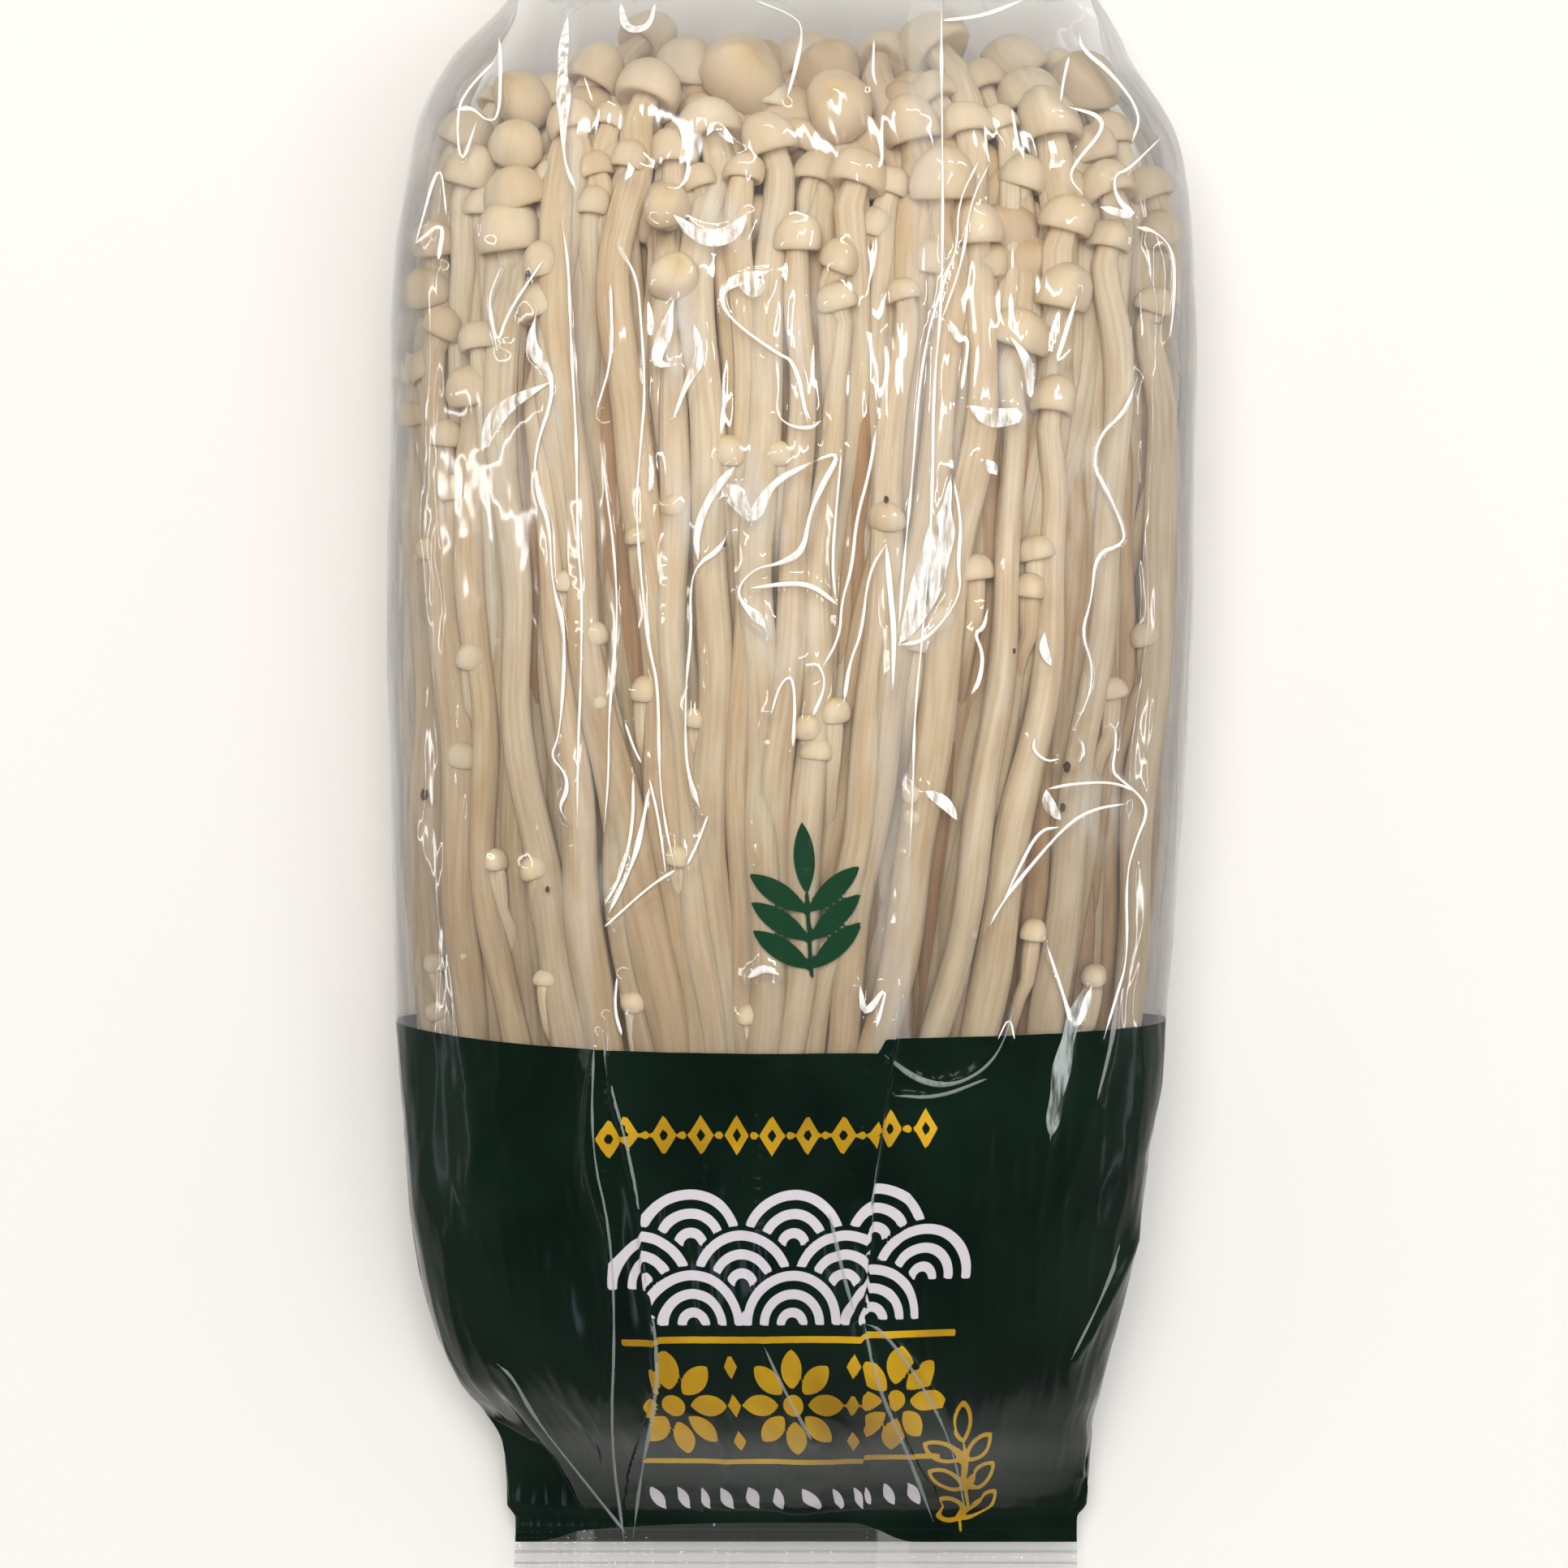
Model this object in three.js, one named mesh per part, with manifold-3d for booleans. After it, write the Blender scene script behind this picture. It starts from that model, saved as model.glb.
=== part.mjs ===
// A bunch of enoki mushrooms in its film bag, lying on its back. Millimetres, +Z up.
// The caps point to +Y, the root clump to -Y, and the printed front of the bag faces +Z.
// The origin is on the resting surface, under the middle of the bag's box.
// The bunch grew as one piece, so root clump, stems and caps are one solid. The bag is one film tube,
// pressed flat and welded at both ends, with one small vent in its back so the mushrooms can breathe.
import * as THREE from "three";
import { mergeVertices } from "three/addons/utils/BufferGeometryUtils.js";
import Module from "manifold-3d";

const wasm = await Module();
wasm.setup();

// ---- Driving dimensions ----

const FILM = 0.5; // film thickness, thicker than the real 0.04 so that it stays one sound solid
const FILM_GAP = 0.35; // kept between the mushrooms and the film
const BAG_END = 107.5; // from the origin to each welded end
const CAVITY_END = 96; // from the origin to where the weld closes the bag
const WELD_START = 98;
const WELD_RIBS = 4; // pressed across each weld
const RIB_HEIGHT = 0.25;
const VENT_RADIUS = 1;
const VENT_AT = { x: 20, y: 90 };
const SQUARENESS = 2.5; // exponent of the bag's cross-section: 2 is an ellipse, more is boxier
const RING_POINTS = 32;
const CREASES = [-0.52, 0.36]; // the two long creases along the front, as shares of the half width
const CREASE_HEIGHT = 0.9;
const CREASE_ANGLE = 0.035; // radians round the section from a crease's ridge to its foot

// Half width, top and underside of the bag as [y, value]. A negative underside is flattened to 0,
// which is the strip that the bag rests on.
const HALF_WIDTH = [
  [-107.5, 34.5],
  [-98, 34.6],
  [-86.5, 36.2],
  [-78.5, 39.8],
  [-68.5, 42.9],
  [-58.5, 45],
  [-33.5, 47.3],
  [-8.5, 48.7],
  [26.5, 49.6],
  [58.5, 49.2],
  [68.5, 48],
  [76.5, 45.8],
  [86.5, 40],
  [98, 34.8],
  [107.5, 34.5],
];
const TOP = [
  [-107.5, 4.2],
  [-98, 5.6],
  [-92, 12],
  [-84, 23],
  [-74, 31],
  [-60, 35.5],
  [-35, 37.6],
  [0, 38.6],
  [40, 39.5],
  [62, 39],
  [76, 36],
  [85, 29.5],
  [91.5, 20],
  [98, 8.2],
  [107.5, 6.2],
];
const UNDERSIDE = [
  [-107.5, 3],
  [-98, 4.2],
  [-92, 1.6],
  [-84, -0.8],
  [-66, -1.2],
  [66, -1.2],
  [84, -0.8],
  [91.5, 2.2],
  [98, 6.6],
  [107.5, 5],
];

// The caps that show on the front: x, y, diameter, and the tilt towards +Z in degrees where a cap
// shows its face. Without a tilt, the cap looks along its stem.
const FRONT_CAPS = [
  [-17.6, 86.4, 8],
  [-23.9, 83.5, 6.6],
  [-12.6, 83.6, 7.2],
  [-6.3, 83.2, 9.8, 70],
  [2.5, 84.8, 8],
  [6, 79.6, 8.4, 62],
  [10.6, 84.6, 6.2],
  [17.8, 86, 8.3],
  [26.9, 83.8, 7.5],
  [28.4, 79.6, 7.4],
  [37.2, 80.6, 8.2, 35],
  [-32.3, 80.2, 6.7, 40],
  [-41.2, 75.4, 6],
  [-17.5, 79.8, 8],
  [-9.8, 76.4, 8.2],
  [-2.4, 74.4, 7],
  [-33.8, 73.6, 6.4],
  [-25.8, 76.4, 5.4],
  [15.3, 76.4, 7.8],
  [21.6, 76, 6.2],
  [31.9, 75.4, 8.8],
  [7.7, 70.2, 6.3],
  [18.6, 69.6, 7],
  [38.4, 69, 6.2],
  [43.4, 70.6, 5.6],
  [-40, 69.6, 6],
  [-33.6, 66.6, 7.4],
  [-25.4, 66.4, 5.2, 50],
  [-20.4, 71, 5],
  [-15.6, 66.4, 5.2, 50],
  [-43, 61.6, 6],
  [-30, 59.5, 5.2],
  [-22.4, 62, 4.8],
  [-42.4, 53.4, 5.6],
  [-36.6, 49.8, 5.2],
  [-30.3, 53.4, 5.6],
  [-40.6, 44.6, 5.6],
  [-14.4, 58.2, 5.4],
  [-9, 61, 4.6],
  [0.4, 62, 4.8],
  [5.5, 59, 4.9],
  [11.4, 64, 5],
  [16.4, 59, 5],
  [22.9, 63.5, 6.3],
  [33.5, 64.8, 5.7],
  [44.2, 62.6, 5.2],
  [39.6, 58, 5.4],
  [34.6, 54.4, 6.2],
  [27.7, 50.8, 7],
  [31.5, 41.6, 5.4],
  [-7, 69, 4.8],
];
// Short young mushrooms that stand between the long stems on the front: x, y, cap diameter.
const FRONT_BUDS = [
  [-42, 36, 4.2],
  [-27.4, 19.9, 3.2],
  [-8.1, 36.2, 3.8],
  [-14.4, 27, 3.4],
  [-39.2, 10.9, 3.6],
  [30.6, 22.6, 4],
  [21.3, 16, 4.4],
  [43, 17, 3.6],
  [3.4, 2, 3.8],
  [-31, -15, 2.8],
  [-18.6, -32, 2.8],
  [21.3, -22, 2.8],
];
const BACK_STEMS = 18; // long stems round the underside
const BACK_INNER_STEMS = 8; // behind those, out of the core

const ROOT_Y = -78; // where the long stems start, inside the root clump
const CORE_Y = 42; // where the inner stems start, inside the core
const INNER_LENGTH = 24; // the least length of an inner stem
const ROOT_RADIUS = 1.35; // a stem's radius where it starts
const STEM_PITCH = 2; // the least distance between two outer stems' caps, across
const LAYER_STEP = 5; // from the outer stems in to the next layer
// The root clump and the core, as [y, depth under the bag's outer face].
const ROOT_STATIONS = [
  [-89, 8],
  [-86, 4],
  [-77, 1.6],
  [-68, 1.6],
  [-63, 7.5],
];
const CORE_STATIONS = [
  [-64, 6],
  [-30, 5],
  [20, 5.1],
  [44, 7],
  [55, 12],
];
// Where the open part of the bag has its rings.
const CAVITY_STATIONS = [
  -CAVITY_END, -92, -88, -84, -76, -68, -50, -25, 5, 35, 60, 70, 78, 84, 88, 92, CAVITY_END,
];
const SIDES = 5; // flat sides round each stem and cap
const LONG_STEM_STEPS = 5;
const INNER_STEM_STEPS = 2;
// A cap's outline from its underside over the rolled rim to the crown, as [radius, height] in
// diameters above the point where the stem meets it.
const CAP_PROFILE = [
  [0.48, -0.06],
  [0.46, 0.22],
  [0.2, 0.47],
];

// ---- Shape rules ----

// A smooth curve through [y, value] knots: cubic pieces, each knot's slope set by its neighbours.
function profile(knots, y) {
  const last = knots.length - 1;
  if (y <= knots[0][0]) return knots[0][1];
  if (y >= knots[last][0]) return knots[last][1];
  let i = 0;
  while (y > knots[i + 1][0]) i++;
  const slope = (k) =>
    k === 0 || k === last
      ? 0
      : (knots[k + 1][1] - knots[k - 1][1]) / (knots[k + 1][0] - knots[k - 1][0]);
  const [y0, v0] = knots[i];
  const [y1, v1] = knots[i + 1];
  const span = y1 - y0;
  const t = (y - y0) / span;
  const t2 = t * t;
  const t3 = t2 * t;
  return (
    (2 * t3 - 3 * t2 + 1) * v0 +
    (t3 - 2 * t2 + t) * span * slope(i) +
    (3 * t2 - 2 * t3) * v1 +
    (t3 - t2) * span * slope(i + 1)
  );
}

// An even scatter from 0 to 1 that is the same on every run.
function scatter(index, channel) {
  const v = Math.sin(index * 12.9898 + channel * 78.233) * 43758.5453;
  return v - Math.floor(v);
}

function smooth(low, high, v) {
  const t = Math.min(1, Math.max(0, (v - low) / (high - low)));
  return t * t * (3 - 2 * t);
}

// The bag's cross-section at y, taken in by depth all round.
function section(y, depth) {
  const top = profile(TOP, y);
  const under = profile(UNDERSIDE, y);
  return {
    halfWidth: profile(HALF_WIDTH, y) - depth,
    middle: (top + under) / 2,
    halfHeight: (top - under) / 2 - depth,
    floor: depth,
  };
}

// The point of the section at an angle: 0 is +X, 90 degrees is the front.
function sectionPoint(y, depth, angle) {
  const s = section(y, depth);
  const bulge = (v) => Math.sign(v) * Math.abs(v) ** (2 / SQUARENESS);
  const z = s.middle + s.halfHeight * bulge(Math.sin(angle));
  return new THREE.Vector3(s.halfWidth * bulge(Math.cos(angle)), y, Math.max(s.floor, z));
}

// The point of the section straight above (side 1) or below (side -1) the share u of its half width.
function lanePoint(y, depth, u, side) {
  const s = section(y, depth);
  const share = Math.min(0.999, Math.abs(u));
  const rise = (1 - share ** SQUARENESS) ** (1 / SQUARENESS);
  const z = s.middle + side * s.halfHeight * rise;
  return new THREE.Vector3(s.halfWidth * u, y, Math.max(s.floor, z));
}

// ---- Solids ----

// A closed solid from rings of equal count, each ring a list of points, with flat ends.
function loft(rings) {
  const count = rings[0].length;
  const positions = rings.flat().flatMap((p) => [p.x, p.y, p.z]);
  const faces = [];
  for (let r = 0; r + 1 < rings.length; r++)
    for (let i = 0; i < count; i++) {
      const a = r * count + i;
      const b = r * count + ((i + 1) % count);
      faces.push(a, b, b + count, a, b + count, a + count);
    }
  const end = (rings.length - 1) * count;
  for (let i = 1; i + 1 < count; i++) {
    faces.push(0, i + 1, i);
    faces.push(end, end + i, end + i + 1);
  }
  return solidOf(positions, faces);
}

function solidOf(positions, faces) {
  return new wasm.Manifold(
    new wasm.Mesh({
      numProp: 3,
      vertProperties: new Float32Array(positions),
      triVerts: new Uint32Array(faces),
    }),
  );
}

// A three.js geometry as a solid, with the faces that collapse at a lathe's poles left out.
function solidFrom(geometry) {
  const bare = geometry.clone();
  bare.deleteAttribute("normal");
  bare.deleteAttribute("uv");
  const merged = mergeVertices(bare, 1e-4);
  const index = merged.index.array;
  const faces = [];
  for (let i = 0; i < index.length; i += 3) {
    const [a, b, c] = [index[i], index[i + 1], index[i + 2]];
    if (a !== b && b !== c && c !== a) faces.push(a, b, c);
  }
  return solidOf(merged.attributes.position.array, faces);
}

// A ring of points round a centre, square to a direction, with a few flat sides.
function ringAcross(centre, along, radius) {
  const across = new THREE.Vector3().crossVectors(along, new THREE.Vector3(0, 0, 1));
  if (across.lengthSq() < 0.02) across.set(1, 0, 0);
  across.normalize();
  const up = new THREE.Vector3().crossVectors(across, along).normalize();
  return Array.from({ length: SIDES }, (_, k) => {
    const angle = (-2 * Math.PI * k) / SIDES;
    return centre
      .clone()
      .addScaledVector(across, radius * Math.cos(angle))
      .addScaledVector(up, radius * Math.sin(angle));
  });
}

// One mushroom as one solid: the stem's rings along its points, then the cap's, from the rolled rim
// over the dome to its flat crown. The last point is where the stem meets the cap.
function mushroomSolid(points, radii, axis, diameter) {
  const last = points.length - 1;
  const stem = points.map((p, i) => {
    const along = i === last ? axis.clone() : points[i + 1].clone().sub(points[Math.max(i - 1, 0)]);
    return ringAcross(p, along.normalize(), radii[i]);
  });
  const cap = CAP_PROFILE.map(([r, h]) =>
    ringAcross(points[last].clone().addScaledVector(axis, h * diameter), axis, r * diameter),
  );
  return loft([...stem, ...cap]);
}

// How deep a cap's middle lies under the film: low caps stand in front, tall ones nearer the middle.
function capDepth(y, diameter) {
  return FILM + FILM_GAP + 0.5 * diameter + 0.3 + 5.5 * smooth(58, 84, y);
}

// One mushroom: a stem from its start to its cap. The lane is the share of the half width it starts
// at, and the layer says how deep it runs: 0 just under the film, 1 behind those.
function mushroom({ startY, startDepth, lane, side, layer, cap, steps, bow }) {
  const depthAtCap = capDepth(cap.y, cap.diameter);
  const radiusAtCap = 0.85 + 0.09 * cap.diameter;
  const laneAtCap = cap.x / section(cap.y, depthAtCap).halfWidth;
  const endLane = Math.max(-0.97, Math.min(0.97, laneAtCap));
  const runDepth = FILM + FILM_GAP + ROOT_RADIUS + 0.4 + LAYER_STEP * layer;
  const neckY = cap.y - 0.2 * cap.diameter;
  const at = (y) => {
    const u = lane + (endLane - lane) * smooth(startY, neckY, y);
    const rooted = startDepth + (runDepth - startDepth) * smooth(startY + 4, startY + 28, y);
    const depth = rooted + (depthAtCap - rooted) * smooth(neckY - 30, neckY, y);
    const p = lanePoint(y, depth, u, side);
    p.x += bow * Math.sin((2 * Math.PI * (y - startY)) / (neckY - startY));
    return p;
  };
  const neck = at(neckY);
  const axis = neck.clone().sub(at(neckY - 6)).normalize();
  const lean = THREE.MathUtils.degToRad(cap.tilt);
  axis.multiplyScalar(Math.cos(lean)).add(new THREE.Vector3(0, 0, side * Math.sin(lean))).normalize();
  const bend = neck.clone().addScaledVector(axis, -0.3 * cap.diameter);
  const stations = Array.from({ length: steps - 1 }, (_, i) => {
    return startY + ((bend.y - startY) * i) / (steps - 1);
  });
  const points = [...stations.map(at), bend, neck];
  const growth = radiusAtCap - ROOT_RADIUS;
  const radii = points.map((p) => ROOT_RADIUS + growth * smooth(startY, neckY, p.y));
  return mushroomSolid(points, radii, axis, cap.diameter);
}

// The front. Going up from the lowest cap, each one that has room beside the others gets a long
// stem under the film, and the rest come out of the core behind those. The long stems are spread
// evenly over the root clump, in the order of their caps.
function frontMushrooms() {
  const caps = FRONT_CAPS.map(([x, y, diameter, tilt = 10]) => {
    return { x, y, diameter, tilt, lane: x / (profile(HALF_WIDTH, y) - 5) };
  });
  caps.sort((a, b) => a.y - b.y);
  const outer = [];
  const inner = [];
  for (const cap of caps) {
    const free = outer.every((other) => Math.abs(other.x - cap.x) >= STEM_PITCH);
    (free ? outer : inner).push(cap);
  }
  outer.sort((a, b) => a.x - b.x);
  const spread = outer.map((cap, k) => {
    const even = -0.94 + (1.88 * (k + 0.5)) / outer.length;
    return longMushroom(cap, even, 1, 0.3 * (scatter(k, 1) - 0.5));
  });
  return [...spread, ...inner.map((cap) => innerMushroom(cap, cap.lane, 1, 0))];
}

function longMushroom(cap, lane, side, bow) {
  const root = { startY: ROOT_Y, startDepth: 4.6, layer: 0, steps: LONG_STEM_STEPS };
  return mushroom({ ...root, cap, lane, side, bow });
}

function innerMushroom(cap, lane, side, bow) {
  const startY = Math.min(CORE_Y, cap.y - INNER_LENGTH);
  const root = { startY, startDepth: 8.5, layer: 1, steps: INNER_STEM_STEPS };
  return mushroom({ ...root, cap, lane, side, bow });
}

// The underside: the same kind of stems at even places, their heights and sizes scattered.
function backMushrooms() {
  const row = (count, lowest, highest, channel, grow) =>
    Array.from({ length: count }, (_, k) => {
      const lane = -0.9 + (1.8 * (k + 0.5)) / count;
      const y = lowest + (highest - lowest) * scatter(k, channel);
      const diameter = 5 + 2.5 * scatter(k, channel + 1);
      const x = lane * (profile(HALF_WIDTH, y) - 5);
      const cap = { x, y, diameter, tilt: 8 + 20 * scatter(k, channel + 2) };
      return grow(cap, lane, -1, 0.3 * (scatter(k, channel + 3) - 0.5));
    });
  return [
    ...row(BACK_STEMS, 50, 72, 11, longMushroom),
    ...row(BACK_INNER_STEMS, 74, 84, 21, innerMushroom),
  ];
}

// Young mushrooms on the front: a short stem that comes up between two long ones.
function buds() {
  return FRONT_BUDS.map(([x, y, diameter]) => {
    const u = x / section(y, 5).halfWidth;
    const points = [
      lanePoint(y - 15, 6.5, u * 0.97, 1),
      lanePoint(y - 7, 3.2, u * 0.99, 1),
      lanePoint(y, FILM + FILM_GAP + 0.5 * diameter + 0.2, u, 1),
    ];
    const axis = points[2].clone().sub(points[1]).normalize();
    return mushroomSolid(points, [0.7, 0.7, 0.8], axis, diameter);
  });
}

// The clump where all stems grow together.
function rootClump() {
  return loft(ROOT_STATIONS.map(([y, depth]) => roundRing(y, depth, 22)));
}

// The stems in the middle of the bunch, pressed into one mass behind the long outer ones.
function core() {
  return loft(CORE_STATIONS.map(([y, depth]) => roundRing(y, depth, 18)));
}

function roundRing(y, depth, count) {
  return Array.from({ length: count }, (_, i) => sectionPoint(y, depth, (-2 * Math.PI * i) / count));
}

// The largest body of a solid: closed pockets between the stems are filled by leaving their walls out.
function outerBody(solid) {
  return solid.decompose().reduce((kept, body) => (body.volume() > kept.volume() ? body : kept));
}

function bunchSolid() {
  const pieces = [rootClump(), core(), ...frontMushrooms(), ...backMushrooms(), ...buds()];
  const grown = wasm.Manifold.union(pieces);
  return outerBody(grown.intersect(inside(FILM + FILM_GAP)).simplify(0.03));
}

// The angles of the film's points round the section, with three close together at each crease.
function filmAngles() {
  const creases = CREASES.map((u) => Math.acos(Math.sign(u) * Math.abs(u) ** (SQUARENESS / 2)));
  const even = Array.from({ length: RING_POINTS }, (_, i) => (2 * Math.PI * (i + 0.5)) / RING_POINTS);
  const kept = even.filter((a) => creases.every((c) => Math.abs(a - c) > 1.6 * CREASE_ANGLE));
  const sides = creases.flatMap((c) => [c - CREASE_ANGLE, c + CREASE_ANGLE]);
  const all = [...kept, ...sides].map((angle) => ({ angle, raised: 0 }));
  all.push(...creases.map((angle) => ({ angle, raised: CREASE_HEIGHT })));
  return all.sort((a, b) => b.angle - a.angle);
}

// The film tube as a solid from stations [y, depth in from the outer face].
function filmTube(stations) {
  const angles = filmAngles();
  const rings = stations.map(([y, depth]) => {
    const open = 1 - smooth(CAVITY_END - 20, CAVITY_END - 4, Math.abs(y));
    return angles.map(({ angle, raised }) => {
      const p = sectionPoint(y, depth, angle);
      p.z += raised * open;
      return p;
    });
  });
  return loft(rings);
}

// The inside of the bag as a solid, taken in by depth from the outer face.
function inside(depth) {
  return filmTube(CAVITY_STATIONS.map((y) => [y, depth]));
}

// The stations of one weld, from its inner edge to the bag's end, with the ribs standing out.
function weldStations(side) {
  const pitch = (BAG_END - WELD_START) / (2 * WELD_RIBS + 1);
  return Array.from({ length: 2 * WELD_RIBS + 2 }, (_, i) => [
    side * (WELD_START + i * pitch),
    i % 2 === 0 || i === 2 * WELD_RIBS + 1 ? 0 : -RIB_HEIGHT,
  ]);
}

// The bag: the tube less its inside, with ribs pressed across both welds and the vent in its back.
function bagSolid() {
  const vent = new THREE.CylinderGeometry(VENT_RADIUS, VENT_RADIUS, 8, 12);
  vent.rotateX(Math.PI / 2);
  vent.translate(VENT_AT.x, VENT_AT.y, 0);
  const body = CAVITY_STATIONS.map((y) => [y, 0]);
  const outer = filmTube([...weldStations(-1).reverse(), ...body, ...weldStations(1)]);
  return outer.subtract(inside(FILM)).subtract(solidFrom(vent));
}

// ---- The object ----

function meshOf(name, solid, material) {
  const made = solid.getMesh();
  const geometry = new THREE.BufferGeometry();
  const positions = new Float32Array(made.numVert * 3);
  for (let i = 0; i < made.numVert; i++)
    positions.set(made.vertProperties.subarray(i * made.numProp, i * made.numProp + 3), i * 3);
  geometry.setAttribute("position", new THREE.BufferAttribute(positions, 3));
  geometry.setIndex(new THREE.BufferAttribute(new Uint32Array(made.triVerts), 1));
  geometry.computeVertexNormals();
  const mesh = new THREE.Mesh(geometry, material);
  mesh.name = name;
  return mesh;
}

const flesh = new THREE.MeshStandardMaterial({ color: 0xe2d3b4, roughness: 0.55, metalness: 0 });
const film = new THREE.MeshStandardMaterial({
  color: 0xe8eeec,
  roughness: 0.12,
  metalness: 0,
  transparent: true,
  opacity: 0.25,
});

const bunch = new THREE.Group();
bunch.add(meshOf("enoki_bunch", bunchSolid(), flesh));
bunch.add(meshOf("film_bag", bagSolid(), film));

export default bunch;
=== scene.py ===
# %% [markdown]
# # A bag of enoki
#
# Enoki are thin pale mushrooms that grow as one dense bunch from a common root. They are sold in a tight
# bag of clear plastic film whose lower part is printed dark green. This lesson dresses the packed CAD
# part, a faceted bunch in a plain tube, with fine mushrooms and a thin, creased, glossy film.
#
# Lengths are worked out in millimetres, as on a drawing, and turned to metres only when a mesh is made.
# The frame is the part's own: +Y runs from root to caps and +Z is up.

# %% Load the packed part
import bpy
import math
import mathutils
import numpy as np
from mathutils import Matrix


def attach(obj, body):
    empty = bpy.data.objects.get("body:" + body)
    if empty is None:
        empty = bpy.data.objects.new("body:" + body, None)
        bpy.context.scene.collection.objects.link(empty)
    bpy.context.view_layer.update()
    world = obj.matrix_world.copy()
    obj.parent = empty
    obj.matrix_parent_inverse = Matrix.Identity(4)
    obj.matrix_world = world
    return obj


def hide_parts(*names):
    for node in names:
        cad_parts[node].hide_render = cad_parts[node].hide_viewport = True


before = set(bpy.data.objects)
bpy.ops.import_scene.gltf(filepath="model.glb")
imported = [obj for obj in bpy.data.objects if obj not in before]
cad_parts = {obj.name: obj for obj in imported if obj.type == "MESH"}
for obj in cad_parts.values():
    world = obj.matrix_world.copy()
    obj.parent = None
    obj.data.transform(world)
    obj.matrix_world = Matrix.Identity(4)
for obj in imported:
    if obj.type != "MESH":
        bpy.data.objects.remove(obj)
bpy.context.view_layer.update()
MM = 0.001  # one millimetre in metres

# %% [markdown]
# ## The camera
#
# The bag lies on its back and the camera looks straight down on it, with the caps up the page. A phone
# held about 40 cm above a table gives this much perspective. The frame is square and 193 mm wide at half
# the bag's height, so both welded ends run out of it.

# %% Camera straight above the bag
VIEW_CENTRE = (-1.0, -5.1)
VIEW_LEVEL = 20.0  # half the bag's height
VIEW_WIDTH = 193.2  # on that level
VIEW_DISTANCE = 400.0  # above that level
SENSOR_WIDTH = 36.0

camera_data = bpy.data.cameras.new("camera")
camera_data.sensor_width = SENSOR_WIDTH
camera_data.lens = SENSOR_WIDTH * VIEW_DISTANCE / VIEW_WIDTH
camera = bpy.data.objects.new("camera", camera_data)
camera.location = (VIEW_CENTRE[0] * MM, VIEW_CENTRE[1] * MM, (VIEW_LEVEL + VIEW_DISTANCE) * MM)
bpy.context.scene.collection.objects.link(camera)
bpy.context.scene.camera = camera
print("lens:", round(camera_data.lens, 1), "mm")

# %% [markdown]
# ## The shape of the filled bag
#
# Film pulled round a bundle takes the bundle's section: a flattened oval, a little squarer than an
# ellipse, which narrows to a flat weld at each end. The same few knots as in the CAD part give the half
# width, the top and the underside at each y, and a smooth curve joins them. Every mushroom and every
# point of film is then placed by its depth under this surface, so nothing can poke out of the bag.

# %% Knots of the bag and a smooth curve through them
HALF_WIDTH = [(-107.5, 36), (-98, 35.8), (-86.5, 36.6), (-78.5, 39.9), (-68.5, 42.8), (-58.5, 44.5),
              (-33.5, 47.3), (-8.5, 48.7), (26.5, 49.6), (58.5, 49.2), (68.5, 48.3), (76.5, 46.6),
              (86.5, 41.2), (98, 34.8), (107.5, 34.5)]
TOP = [(-107.5, 4.2), (-98, 5.6), (-92, 12), (-84, 23), (-74, 31), (-60, 35.5), (-35, 37.6), (0, 38.6),
       (40, 39.5), (62, 39), (76, 36), (85, 29.5), (91.5, 20), (98, 8.2), (107.5, 6.2)]
UNDERSIDE = [(-107.5, 3), (-98, 4.2), (-92, 1.6), (-84, -0.8), (-66, -1.2), (66, -1.2), (84, -0.8),
             (91.5, 2.2), (98, 6.6), (107.5, 5)]
# The bag does not lie straight: its foot has slipped to the left. The shift in x at each y.
SWAY = [(-107.5, 0.5), (-98, 0.6), (-88, 0.6), (-84, -0.2), (-78, -1.4), (-70, -2.2), (-58, -2.1),
        (-48, -1.4), (-28, -1.1), (0, -0.5), (31, 0), (60, 0.3), (72, 0.5), (84, -0.3), (88, 0.5), (93, 1.6),
        (107.5, 1.6)]
SQUARENESS = 2.5  # exponent of the oval: 2 is an ellipse, more is boxier
FILM = 0.5  # thickness of the CAD film
BAG_END = 107.5  # from the middle to each welded end


def profile(knots, y):
    """The value at y of a smooth curve through the knots, each knot's slope set by its neighbours."""
    at, value = np.array(knots, dtype=float).T
    slope = np.zeros_like(value)
    slope[1:-1] = (value[2:] - value[:-2]) / (at[2:] - at[:-2])
    y = np.clip(y, at[0], at[-1])
    i = np.clip(np.searchsorted(at, y, side="right") - 1, 0, len(at) - 2)
    span = at[i + 1] - at[i]
    t = (y - at[i]) / span
    rise = (2 * t**3 - 3 * t**2 + 1) * value[i] + (3 * t**2 - 2 * t**3) * value[i + 1]
    return rise + ((t**3 - 2 * t**2 + t) * slope[i] + (t**3 - t**2) * slope[i + 1]) * span


def smooth(low, high, v):
    """0 below low, 1 above high, and an S-curve between."""
    t = np.clip((v - low) / (high - low), 0, 1)
    return t * t * (3 - 2 * t)


def bulge(v):
    """Turns a sine or cosine into a coordinate on the squarer oval."""
    return np.sign(v) * np.abs(v) ** (2 / SQUARENESS)


def section(y, depth):
    """Half width, middle height and half height of the bag at y, taken in by depth."""
    top, under = profile(TOP, y), profile(UNDERSIDE, y)
    return profile(HALF_WIDTH, y) - depth, (top + under) / 2, (top - under) / 2 - depth


def lane_point(y, depth, u, side):
    """The point at depth under the front (side 1) or the back (-1), at the share u of the half width."""
    half_width, middle, half_height = section(y, depth)
    share = np.minimum(0.999, np.abs(u))
    rise = (1 - share**SQUARENESS) ** (1 / SQUARENESS)
    z = np.maximum(depth, middle + side * half_height * rise)
    return np.stack([half_width * u, y + 0 * z, z], axis=-1)


print("bag at the widest:", 2 * max(half_width for _, half_width in HALF_WIDTH), "mm")

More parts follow.
